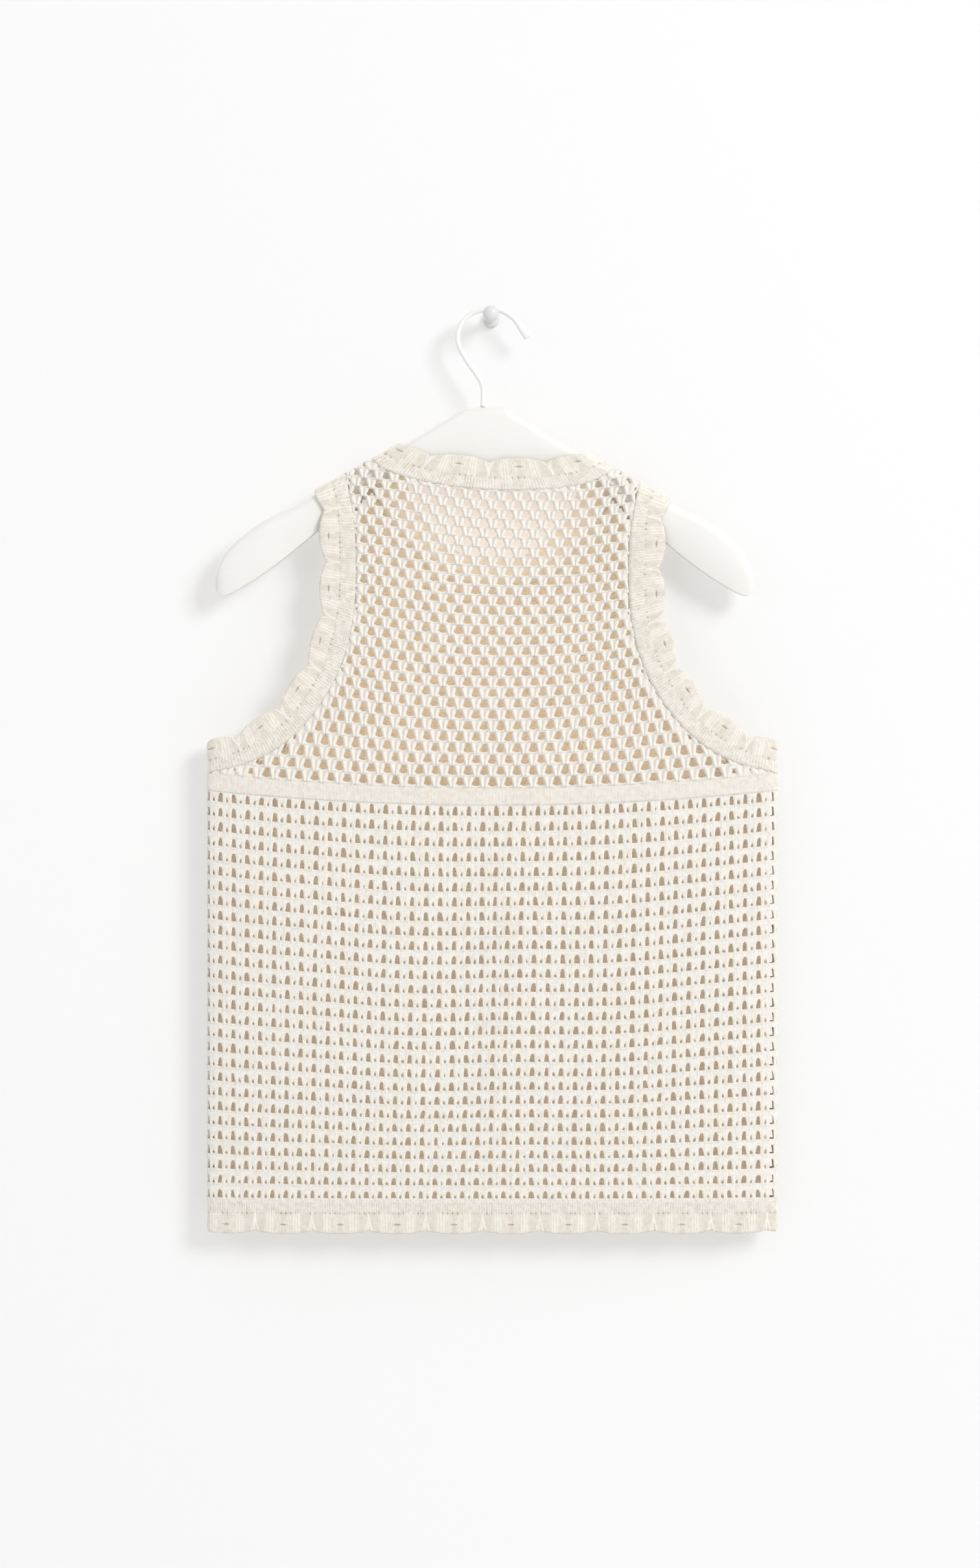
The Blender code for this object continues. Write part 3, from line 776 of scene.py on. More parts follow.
@dataclass
class BodyNet:
    """Net of the body: rows of arched holes, with a small drop hole between each two."""

    form: HungForm
    layer: Layer
    columns: int = 42
    rows: int = 28
    cell: tuple[float, float] = (9.8, 10.3)
    hem_z: float = -0.6272
    band_bottom: float = -0.3375
    sag: float = 0.0105
    wales: int = 5
    courses: int = 7
    column_lean: float = 0.0050
    row_ripple: float = 0.0009
    crowd_x: float = 0.004
    crowd_half: float = 0.030
    wall: float = 1.7
    lip: float = 0.25
    arch_x: float = 2.95
    arch_middle: float = 5.6
    arch_size: tuple[float, float] = (0.98, 1.04)
    drop_x: float = 7.85
    drop_middle: float = 4.4
    low_rows: int = 2
    arch: tuple[tuple[float, float], ...] = (
        (0.0, 9.75), (1.05, 9.0), (1.45, 7.2), (1.6, 5.4), (1.75, 3.95), (0.9, 3.75), (0.0, 3.7))
    arch_border: tuple[tuple[float, float], ...] = (
        (0.0, 10.3), (1.475, 10.3), (2.95, 10.3), (2.95, 5.15), (2.95, 0.0), (1.475, 0.0),
        (0.0, 0.0))
    drop: tuple[tuple[float, float], ...] = (
        (0.0, 6.5), (0.55, 5.6), (0.85, 4.6), (0.6, 3.9), (0.0, 3.8))
    drop_border: tuple[tuple[float, float], ...] = (
        (0.0, 10.3), (1.95, 10.3), (1.95, 5.15), (1.95, 0.0), (0.0, 0.0))

    def drift(self, x: np.ndarray, z: np.ndarray, up: np.ndarray,
              bow: np.ndarray) -> tuple[np.ndarray, np.ndarray]:
        """Leans the columns to the left on their way down and lets them crowd in the middle.

        Args:
            x: place across.
            z: height.
            up: share of the way from the hem to the band.
            bow: 1 on the middle and 0 on the side folds.

        Returns:
            The new place across and the new height.
        """
        swell = np.sin(np.pi * np.clip(up, 0.0, 1.0))
        off = x - self.crowd_x
        crowd = np.exp(-(off / self.crowd_half) ** 2) * off * swell
        x = x - self.column_lean * (1 - up) * bow - 0.10 * crowd
        ripple = np.sin(x * 41 + 1.0) * np.sin(np.pi * up) * bow
        return x, z + self.row_ripple * ripple

    def relief(self, x: np.ndarray, z: np.ndarray) -> np.ndarray:
        """Height of the outer face in one cell, with a rolled ridge just under the hole."""
        return 0.12 + 0.30 * np.exp(-((z - 3.0) / 0.7) ** 2)

    def draft(self) -> MeshDraft:
        """Lays the cells and hangs them on the body."""
        column, row = np.meshgrid(np.arange(self.columns), np.arange(self.rows))
        corner = np.column_stack([column.ravel() * self.cell[0], row.ravel() * self.cell[1]])
        noise = np.random.default_rng(5 + self.layer.value)
        net = NetDraft()
        arch = HoleRing(mirrored(self.arch), mirrored(self.arch_border),
                        np.array([0.0, self.arch_middle]), (0.0, 0.2, 1.0), self.relief,
                        self.wall, self.lip)
        drop = HoleRing(mirrored(self.drop), mirrored(self.drop_border),
                        np.array([0.0, self.drop_middle]), (0.0, 0.35, 1.0), self.relief,
                        self.wall, self.lip)
        size = self.arch_size + noise.normal(0.0, 0.09, (len(corner), 2)) * (1.0, 0.5)
        size[:, 1] -= 0.12 * (row.ravel() < self.low_rows)
        net.lay(arch, corner + (self.arch_x, 0.0), size, noise.normal(0.0, 0.06, len(corner)))
        size = 1.0 + noise.normal(0.0, 0.15, (len(corner), 2))
        net.lay(drop, corner + (self.drop_x, 0.0), size, noise.normal(0.0, 0.10, len(corner)))
        points, quads = net.weld()
        across = points[:, 0] / (self.columns * self.cell[0]) * 2 - 1
        up = points[:, 1] / (self.rows * self.cell[1])
        x = self.form.across(across * self.form.half_girth())
        bow = 1 - (x / self.form.fold_half) ** 2
        sag = self.sag * (1.3 * (1 - np.maximum(1 - up, 0.0) ** 2.2) - 0.3 * up ** 6)
        z = self.hem_z + up * (self.band_bottom - self.hem_z) - sag * bow
        x, z = self.drift(x, z, up, bow)
        placed = self.form.place(np.column_stack([x, z]), self.layer, points[:, 2] * MM)
        stitches = points[:, :2] / self.cell * (self.wales, self.courses)
        # Painted shade: more the lower the face lies, down into the holes.
        painted_hollow_shade = np.clip((0.05 - points[:, 2]) / 0.5, 0.0, 1.0)
        return MeshDraft(placed, facing([quads], self.layer), stitches, painted_hollow_shade)


@dataclass
class YokeRegion:
    """Outline of the yoke's net: the neck's seam, the shoulders, the armholes and the band."""

    form: HungForm
    armhole: ArmholeCurve
    neck: NeckCurve
    under_trim: float = 0.0013

    def room(self, x: np.ndarray, z: np.ndarray) -> np.ndarray:
        """Distance from a point to the nearest edge, below 0 outside it."""
        side = (self.armhole.net_half_width(z) - np.abs(x)) * 0.85
        shoulder = (self.form.shoulder(x) - z) / math.hypot(1.0, self.form.slope)
        reach = self.neck.reach(x, z)
        neck = (1 - 1 / np.maximum(reach, 0.05)) * np.hypot(x, z - self.neck.top)
        return np.minimum(np.minimum(side, shoulder), neck)

    def clamp(self, x: np.ndarray, z: np.ndarray) -> tuple[np.ndarray, np.ndarray]:
        """Moves points that lie outside onto the nearest edge."""
        least = 1.0 - self.under_trim / np.maximum(np.hypot(x, z - self.neck.top), 0.01)
        reach = np.maximum(self.neck.reach(x, z), 0.05)
        push = np.where(reach < least, least / reach, 1.0)
        x, z = x * push, self.neck.top - (self.neck.top - z) * push
        half = self.armhole.net_half_width(z) + self.under_trim
        x = np.clip(x, -half, half)
        return x, np.minimum(z, self.form.shoulder(x))


@dataclass
class YokeNet:
    """Net of the yoke: staggered bell holes between pairs of plump leaf stitches.

    A cell is laid where its middle has enough room inside the yoke's outline, and its hole
    opens with that room. The cells beyond the corner, next to the side fold, stay closed.
    """

    form: HungForm
    layer: Layer
    region: YokeRegion
    cell: tuple[float, float] = LEAF_CELL
    rows: int = 33
    columns: int = 19
    band_top: float = -0.3250
    band_sag: float = 0.0105
    yoke_sag: float = 0.0085
    yoke_half: float = 0.105
    low_pitch: float = 0.00775
    high_pitch: float = 0.0063
    wide_pitch: float = 0.0118
    squeeze: float = 0.0000080
    wall: float = 1.7
    lip: float = 0.35
    glow_share: float = 0.50
    corner: float = 0.166
    corner_fade: float = 0.0080
    corner_room: float = -0.0085
    least_room: float = -0.0030
    closed_room: float = 0.0010
    opening_room: float = 0.0035
    hole_size: float = 1.14
    upper_start: float = 0.070
    fold_column: float = 18.0
    leaf_top: tuple[float, float] = (2.7, 4.1)
    leaf_foot: tuple[float, float] = (4.9, -4.1)
    leaf_half: float = 1.55
    leaf_rise: float = 1.45
    ground: float = -0.40
    bell: tuple[tuple[float, float], ...] = (
        (0.0, 3.0), (0.8, 2.95), (1.15, 2.4), (1.4, 1.7), (1.65, 1.0), (1.95, 0.25), (2.35, -0.55),
        (2.6, -1.2), (1.95, -1.75), (0.95, -2.15), (0.0, -2.3))
    border: tuple[tuple[float, float], ...] = (
        (0.0, 3.8), (1.8667, 3.8), (3.7333, 3.8), (5.6, 3.8), (5.6, 1.9), (5.6, 0.0), (5.6, -1.9),
        (5.6, -3.8), (3.7333, -3.8), (1.8667, -3.8), (0.0, -3.8))

    def leaf(self, x: np.ndarray, z: np.ndarray) -> np.ndarray:
        """Height of one cell's two leaf stitches, which lean out to meet its neighbours' below."""
        top, foot = np.array(self.leaf_top), np.array(self.leaf_foot)
        line = foot - top
        px, pz = np.abs(x) - top[0], z - top[1]
        along = np.clip((px * line[0] + pz * line[1]) / (line @ line), 0.0, 1.0)
        away = np.hypot(px - along * line[0], pz - along * line[1])
        half = self.leaf_half * np.sin(np.pi * (0.16 + 0.68 * along)) ** 0.6
        return np.clip(1 - (away / half) ** 2, 0.0, 1.0) ** 0.8

    def relief(self, x: np.ndarray, z: np.ndarray) -> np.ndarray:
        """Height of the outer face, the same on both sides of every border."""
        height = np.full(len(x), self.ground)
        dimple = np.zeros(len(x))
        wide, tall = self.cell
        neighbours = ((0, 0), (1, 1), (-1, 1), (1, -1), (-1, -1), (2, 0), (-2, 0), (0, 2), (0, -2))
        for across, up in neighbours:
            px, pz = x - across * wide / 2, z - up * tall
            height = np.maximum(height, self.leaf_rise * self.leaf(px, pz) + self.ground)
            dimple = np.maximum(dimple, np.exp(-((px / 0.7) ** 2 + ((pz + 3.9) / 0.6) ** 2)))
        return height - 0.15 * dimple

    def hang(self, points: np.ndarray) -> tuple[np.ndarray, np.ndarray]:
        """Front-view places of pattern points, with the rows' sag and the columns' lean.

        Args:
            points: rows of x and z in millimetres of the pattern.

        Returns:
            The x and the z of each point, in metres.
        """
        column, row = points[:, 0] / self.cell[0], points[:, 1] / self.cell[1]
        closer = (self.low_pitch - self.high_pitch) * row ** 2 / (2 * self.rows)
        climb = self.low_pitch * row - closer
        upper = ease(climb / self.upper_start)
        low_x = self.form.across(column * self.form.half_girth() / self.fold_column)
        high_x = self.wide_pitch * column - self.squeeze * column ** 3
        x = low_x + (high_x - low_x) * upper
        low_sag = self.band_sag * (1 - (x / self.form.fold_half) ** 2)
        high_sag = self.yoke_sag * np.maximum(1 - (x / self.yoke_half) ** 2, -0.6)
        return x, self.band_top + climb - low_sag - (high_sag - low_sag) * upper

    def draft(self) -> MeshDraft:
        """Lays the cells, trims them to the yoke's outline and hangs them."""
        wide, tall = self.cell
        centres = np.array([(wide * (column + 0.5 * (row % 2)), tall * (row + 0.5))
                            for row in range(self.rows)
                            for column in range(-self.columns, self.columns + 1)])
        x, z = self.hang(centres)
        room = self.region.room(x, z)
        kept = room > np.where(np.abs(x) > self.corner, self.corner_room, self.least_room)
        centres, room, x = centres[kept], room[kept], x[kept]
        noise = np.random.default_rng(11 + self.layer.value)
        size = np.clip((room - self.closed_room) / self.opening_room, 0.10, 1.0)[:, None]
        size = size * (1 - 0.9 * ease((np.abs(x) - self.corner) / self.corner_fade))[:, None]
        size = size * (self.hole_size + noise.normal(0.0, 0.07, (len(centres), 2)))
        net = NetDraft()
        shares = {Layer.BACK: (0.0, 0.15, 0.38, 0.62, 0.84, 1.0),
                  Layer.FRONT: (0.0, 0.3, 0.7, 1.0)}
        hole = HoleRing(mirrored(self.bell), mirrored(self.border), np.array([0.0, 0.1]),
                        shares[self.layer], self.relief, self.wall, self.lip)
        net.lay(hole, centres, size, noise.normal(0.0, 0.08, len(centres)))
        points, quads = net.weld()
        x, z = self.hang(points)
        free = self.region.room(x, z)
        cx, cz = self.region.clamp(x, z)
        tuck = np.where(points[:, 2] > -1.0, 0.9 * (1 - ease((free + 0.0004) / 0.0012)), 0.0)
        height = np.minimum(points[:, 2], points[:, 2] * (1 - tuck) - tuck)
        placed = self.form.place(np.column_stack([cx, cz]), self.layer, height * MM)
        quads = drop_slivers(placed, quads)
        stitches = points[:, :2] / LEAF_STITCH
        # Painted shade: more the lower the face lies. Painted glow on the back layer's hole walls, for
        # light that comes through the cloth.
        painted_hollow_shade = np.clip((0.10 - height) / 1.6, 0.0, 1.0)
        inside = self.glow_share * (height < -1.0) * (self.layer is Layer.BACK)
        return MeshDraft(placed, facing([quads], self.layer), stitches, painted_hollow_shade, inside)


@dataclass
class SolidBand:
    """Plain knit band between the two nets, a closed strip with rounded long edges."""

    form: HungForm
    layer: Layer
    top: float = -0.3250
    height: float = 0.0125
    sag: float = 0.0105
    wall: float = 0.0018
    raise_by: float = 0.0005
    wale_rise: float = 0.00012
    across: int = 400
    rows: int = 8
    wales: int = 205
    courses: int = 8

    def draft(self) -> MeshDraft:
        """Sweeps the band's section from fold to fold."""
        share = np.linspace(-1.0, 1.0, self.across + 1)
        x = self.form.across(share * self.form.half_girth())
        up = np.linspace(0.0, 1.0, self.rows + 1)
        outer = self.raise_by * np.sin(np.pi * np.clip(up, 0.04, 0.96)) ** 0.4
        section = [(u, h) for u, h in zip(up, outer)] + [(1.0, -self.wall), (0.0, -self.wall)]
        places = np.array([p[0] for p in section])
        heights = np.array([p[1] for p in section])
        ring = len(section)
        z = (self.top - self.height * (1 - places[None, :])
             - self.sag * (1 - (x[:, None] / self.form.fold_half) ** 2))
        flat = np.column_stack([np.repeat(x, ring), z.ravel()])
        wave = (self.wale_rise * np.sin(share[:, None] * self.wales * np.pi)
                * (heights[None, :] > 0))
        placed = self.form.place(flat, self.layer, (heights[None, :] + wave).ravel())
        stitches = np.column_stack([np.repeat(share * self.wales / 2, ring),
                                    np.tile(places * self.courses, len(share))])
        # Painted shade: a fixed share on the outer face and more on the inner face.
        painted_hollow_shade = np.tile(np.where(heights > 0, 0.25, 0.5), len(share))
        return MeshDraft(placed, facing(swept(len(share), ring), self.layer), stitches, painted_hollow_shade)


def swept(stations: int, ring: int) -> list[np.ndarray]:
    """Faces of a closed section swept through stations, with a cap at each end.

    Args:
        stations: count of sections.
        ring: count of points in a section.

    Returns:
        The sides, the first cap and the last cap.
    """
    station = np.arange(stations - 1)[:, None] * ring
    here = np.arange(ring)[None, :]
    after = (here + 1) % ring
    sides = np.stack([station + here, station + ring + here, station + ring + after, station + after],
                     axis=-1).reshape(-1, 4)
    start = np.arange(ring)[None, :]
    end = (stations - 1) * ring + np.arange(ring)[None, ::-1]
    return [sides, start, end]


# Trims


@dataclass
class TrimEdge:
    """Where one trim lies: its free edge, its seam, and the length along its free edge."""

    free: np.ndarray
    sewn: np.ndarray
    first_notch: float
    pitch: float
    notch_depth: float

    def stations(self, step: float) -> tuple[np.ndarray, np.ndarray, np.ndarray]:
        """Places along the free edge, with the points of both edges there."""
        lengths = lengths_along(self.free)
        places = np.linspace(0.0, lengths[-1], int(lengths[-1] / step) + 1)
        read = [np.column_stack([np.interp(places, lengths, line[:, k]) for k in (0, 1)])
                for line in (self.free, self.sewn)]
        return places, read[0], read[1]


@dataclass
class Trim:
    """Rib with a scalloped edge, as a closed wall.

    Each lobe has straight wales at its sides, two arcs that draw in to a slit with a small roof,
    and strands that cross in the notches. A row of eyelets parts the lobes from the ribs.
    """

    form: HungForm
    layer: Layer
    edge: TrimEdge
    wall: float = 0.0018
    scallop: float = 0.0147
    scallop_round: float = 0.72
    step: float = 0.00044
    wale: float = 0.00172
    course: float = 0.0018
    band_wale: float = 0.0019
    rib_rise: float = 0.00034
    puff: float = 0.0005
    pucker: float = 0.00010
    slit_share: float = 0.47
    slit_half: float = 0.0006
    first_row: float = 0.0007
    wales_out: float = 0.0092
    arc_half: float = 0.00045
    band_rows: int = 17
    rib_rows: int = 5
    glow_share: float = 0.55

    @property
    def slit_deep(self) -> float:
        """Distance of the slit from the free edge."""
        return self.scallop * self.slit_share

    def lobe(self, along: np.ndarray) -> np.ndarray:
        """Height of the scallop line: 0 in a notch and 1 on a lobe."""
        phase = np.pi * (along - self.edge.first_notch) / self.edge.pitch
        return np.abs(np.sin(phase)) ** self.scallop_round

    def motif(self, along: np.ndarray, deep: np.ndarray) -> np.ndarray:
        """Height of the wales, arcs, strands, slit, eyelets and ribs over the puffed face.

        Args:
            along: place along the free edge.
            deep: distance in from the free edge.

        Returns:
            Height in metres.
        """
        pitch = self.edge.pitch
        from_notch = (along - self.edge.first_notch + pitch / 2) % pitch - pitch / 2
        from_middle = (along - self.edge.first_notch) % pitch - pitch / 2
        middle_deep = self.slit_deep
        rib = np.abs(np.sin(np.pi * along / self.wale)) ** 0.7
        in_rib = ease((deep - self.scallop) / 0.0008)
        side = np.abs(from_middle)
        level = (deep - middle_deep) / middle_deep
        # Straight wales on both sides of the motif
        from_wales = side - self.wales_out
        group = np.exp(-(from_wales / 0.0034) ** 4)
        wales = group * np.abs(np.cos(np.pi * from_wales / self.band_wale)) ** 0.7
        # Two arcs that draw in to the slit, with a flat leaf field outside them
        draw_in = side - 0.0020 - 0.0021 * level ** 2
        arcs = (np.exp(-(draw_in / self.arc_half) ** 2)
                + np.exp(-((draw_in - 0.0017) / self.arc_half) ** 2)) * (side < 0.0070)
        slit = np.exp(-((from_middle / 0.0023) ** 4 + ((deep - middle_deep) / 0.00042) ** 2))
        over_slit = deep - middle_deep - 0.0011 + 0.35 * side
        roof = np.exp(-(over_slit / 0.0005) ** 2) * (side < 0.0026)
        # Strands that cross in the notch
        lean = 0.20 * (deep - self.scallop * 0.5)
        near_notch = 1 - ease((np.abs(from_notch) - 0.0024) / 0.0012)
        strands = near_notch * np.maximum.reduce([
            np.exp(-((from_notch - start - turn * lean) / 0.00050) ** 2)
            for start, turn in ((-0.0011, 1), (0.0011, -1), (0.0002, -0.3))])
        eyelet_pitch = 2 * self.wale
        beat = (along % eyelet_pitch) - eyelet_pitch / 2
        open_share = 0.5 + 0.5 * np.sin(along * 310 + 1.7 * np.sin(along * 97))
        eyelet = open_share * np.exp(
            -((beat / 0.0005) ** 2 + ((deep - self.scallop) / 0.0007) ** 2))
        band = (0.00034 * wales * (1 - near_notch) + 0.00026 * arcs + 0.00022 * roof
                + 0.00050 * strands - 0.00130 * slit)
        return band * (1 - in_rib) + self.rib_rise * rib * in_rib - 0.0009 * eyelet

    def puffed(self, along: np.ndarray, deep: np.ndarray) -> np.ndarray:
        """Height of the soft swell of each lobe."""
        return self.puff * self.lobe(along) * np.sin(np.pi * np.clip(deep / self.scallop, 0.0, 1.0))

    def draft(self) -> MeshDraft:
        """Sweeps the trim's section along its edges."""
        along, free, sewn = self.edge.stations(self.step)
        width = np.linalg.norm(sewn - free, axis=1)
        lobe = self.lobe(along)
        pucker = self.pucker * (np.sin(along * 830) + np.sin(along * 1370 + 1.0) + 1.6)
        recess = self.edge.notch_depth * (1 - lobe) + pucker
        slit, half_rows = self.slit_deep, self.band_rows // 2
        band = np.concatenate([np.linspace(self.first_row, slit - self.slit_half, half_rows), [slit],
                               np.linspace(slit + self.slit_half, self.scallop - 0.0009, half_rows)])
        middle = np.array([self.scallop - 0.0004, self.scallop, self.scallop + 0.0005])
        rib_share = np.linspace(0.10, 1.0, self.rib_rows)
        deep = np.column_stack([np.tile(band, (len(along), 1)), np.tile(middle, (len(along), 1)),
                                self.scallop + (width[:, None] + 0.0004 - self.scallop) * rib_share])
        pushed = deep + recess[:, None] * np.clip(1 - (deep - self.first_row) / 0.008, 0.0, 1.0)
        motif = self.motif(along[:, None], deep)
        height = motif + self.puffed(along[:, None], deep)
        height[:, 0] -= 0.0002
        height[:, -1] = 0.0002
        face = [(pushed[:, k], height[:, k]) for k in range(deep.shape[1])]
        inner = (deep[:, -1], self.scallop * np.ones(len(along)), pushed[:, 0])
        face += [(place, np.full(len(along), -self.wall)) for place in inner]
        face.append((recess, np.full(len(along), -self.wall * 0.5)))
        places = np.stack([pair[0] for pair in face], axis=1)
        heights = np.stack([pair[1] for pair in face], axis=1)
        share = (places / width[:, None])[..., None]
        flat = free[:, None, :] + (sewn - free)[:, None, :] * share
        placed = self.form.place(flat.reshape(-1, 2), self.layer, heights.ravel())
        ring = heights.shape[1]
        stitches = np.column_stack([np.repeat(along / self.wale, ring),
                                    places.ravel() / self.course])
        # Painted shade in the grooves, slit and eyelets, less on raised lines; painted glow on the front
        # layer's inner faces, for light that comes through the cloth.
        shade = np.full(places.shape, 0.5)
        shade[:, :motif.shape[1]] = np.clip(0.58 - motif / 0.0007, 0.10, 1.4)
        inside = self.glow_share * (heights.ravel() < -0.0015) * (self.layer is Layer.FRONT)
        return MeshDraft(placed, facing(swept(len(along), ring), self.layer), stitches,
                         shade.ravel(), inside)


@dataclass
class TrimSet:
    """Every trim of the top: neck, armholes and hem, two layers each."""

    form: HungForm
    armhole: ArmholeCurve
    finish: YarnFinish
    neck_free: dict[Layer, NeckCurve]
    neck_sewn: dict[Layer, NeckCurve]
    neck_pitch: dict[Layer, float] = field(
        default_factory=lambda: {Layer.BACK: 0.0385, Layer.FRONT: 0.0428})
    neck_shift: dict[Layer, float] = field(
        default_factory=lambda: {Layer.BACK: -0.0025, Layer.FRONT: 0.0214})
    neck_notch: float = 0.0040
    arm_notch: float = 0.0050
    hem_notch: float = 0.0024
    arm_first_notch: float = 0.0150
    arm_pitch: float = 0.0350
    hem_top: float = -0.6259
    hem_tip: float = -0.6491
    hem_first_notch: float = -0.2070
    hem_pitch: float = 0.0400

    def neck(self, layer: Layer) -> TrimEdge:
        """Edges of the neck trim, from the left shoulder to the right."""
        angle = np.linspace(-math.pi / 2, math.pi / 2, 1201)
        free, sewn = self.neck_free[layer].point(angle), self.neck_sewn[layer].point(angle)
        notch = lengths_along(free)[-1] / 2 + self.neck_shift[layer]
        return TrimEdge(free, sewn, notch, self.neck_pitch[layer], self.neck_notch)

    def arm(self, hand: Hand) -> TrimEdge:
        """Edges of the armhole trim, so that its outside is on the left of its run."""
        free, sewn = (line * (hand.value, 1.0) for line in self.armhole.edges())
        if hand is Hand.RIGHT:
            return TrimEdge(free, sewn, self.arm_first_notch, self.arm_pitch, self.arm_notch)
        last_notch = lengths_along(free)[-1] - self.arm_first_notch
        return TrimEdge(free[::-1], sewn[::-1], last_notch, self.arm_pitch, self.arm_notch)

    def hem(self) -> TrimEdge:
        """Edges of the hem trim, from the right fold to the left."""
        x = self.form.across(np.linspace(1.0, -1.0, 801) * self.form.half_girth())
        free = np.column_stack([x, np.full(len(x), self.hem_tip)])
        sewn = np.column_stack([x, np.full(len(x), self.hem_top)])
        notch = self.form.fold_half - self.hem_first_notch
        return TrimEdge(free, sewn, notch, self.hem_pitch, self.hem_notch)

    def build(self) -> list[bpy.types.Object]:
        """Makes and dresses the eight trims."""
        material = self.finish.material()
        made = []
        for layer in Layer:
            edges = {f"neck_trim_{layer.word}": self.neck(layer),
                     f"hem_trim_{layer.word}": self.hem()}
            for hand in Hand:
                edges[f"armhole_trim_{hand.word}_{layer.word}"] = self.arm(hand)
            for node, edge in edges.items():
                piece = Trim(self.form, layer, edge).draft().make("knit_" + node)
                dress(piece, material, "trim", node)
                declare_sheet(edge, node)
                made.append(piece)
        return made


def declare_sheet(edge: TrimEdge, node: str) -> None:
    """Works out the middle line, the width and the resting parts of one trim, and does nothing with
    them.
    """
    middle = (edge.free + edge.sewn) / 2
    width = float(np.linalg.norm(edge.sewn - edge.free, axis=1).mean())
    rests = ["hanger_body"] if not node.startswith("hem") else ["back_panel"]


# Hanger, hook and peg


@dataclass
class Hanger:
    """Contoured wooden hanger: round-topped arms, flat faces and a bevelled foot."""

    finish: PaintFinish
    form: HungForm
    middle_x: float = -0.0043
    bevel: float = 0.55
    top_steps: int = 8
    between: int = 5
    edge: float = 0.0007
    sections: tuple[tuple[float, float, float, float, float], ...] = (
        (0.0134, -0.0673, -0.1030, -0.1140, 0.0060),
        (0.0300, -0.0775, -0.1030, -0.1130, 0.0062),
        (0.0490, -0.0891, -0.1060, -0.1140, 0.0066),
        (0.0850, -0.1092, -0.1195, -0.1260, 0.0070),
        (0.1050, -0.1204, -0.1360, -0.1440, 0.0070),
        (0.1340, -0.1364, -0.1560, -0.1680, 0.0070),
        (0.1480, -0.1425, -0.1650, -0.1790, 0.0076),
        (0.1600, -0.1495, -0.1720, -0.1875, 0.0080),
        (0.1730, -0.1590, -0.1800, -0.1955, 0.0078),
        (0.1825, -0.1690, -0.1855, -0.2000, 0.0068),
        (0.1875, -0.1790, -0.1890, -0.1990, 0.0052),
        (0.1895, -0.1870, -0.1905, -0.1950, 0.0030),
    )

    def outline(self, section: np.ndarray) -> list[tuple[float, float]]:
        """Closed outline of one section, in y and z."""
        _, top, facet, bottom, depth = section
        radius = min(depth, (top - facet) * 0.8)
        angle = np.linspace(0.0, math.pi / 2, self.top_steps + 1)
        arc = [(depth * math.cos(a), top - radius + radius * math.sin(a)) for a in angle]
        near = [(-depth * self.bevel, bottom), (-depth, facet)] + [(-y, z) for y, z in arc]
        return near + arc[-2::-1] + [(depth, facet), (depth * self.bevel, bottom)]

    def build(self) -> bpy.types.Object:
        """Lofts the hanger from wing tip to wing tip and softens its edges."""
        half = smooth_path(np.array(self.sections), self.between)
        shape = bmesh.new()
        loops = []
        for section in [*(row * (-1, 1, 1, 1, 1) for row in half[::-1]), *half]:
            loops.append([shape.verts.new((self.middle_x + section[0], self.form.hang_y + y,
                                           self.form.hook_top + z))
                          for y, z in self.outline(section)])
        count = len(loops[0])
        for first, second in zip(loops, loops[1:]):
            for index in range(count):
                after = (index + 1) % count
                shape.faces.new((first[index], first[after], second[after], second[index]))
        shape.faces.new(loops[0][::-1])
        shape.faces.new(loops[-1])
        bmesh.ops.recalc_face_normals(shape, faces=shape.faces)
        mesh = bpy.data.meshes.new("white_hanger")
        shape.to_mesh(mesh)
        shape.free()
        mesh.shade_smooth()
        hanger = add_object("white_hanger", mesh)
        soften = hanger.modifiers.new("Soften", "BEVEL")
        soften.width, soften.segments, soften.angle_limit = self.edge, 2, math.radians(24)
        soften.harden_normals = True
        return dress(hanger, self.finish.material(), "wood", "hanger_body")


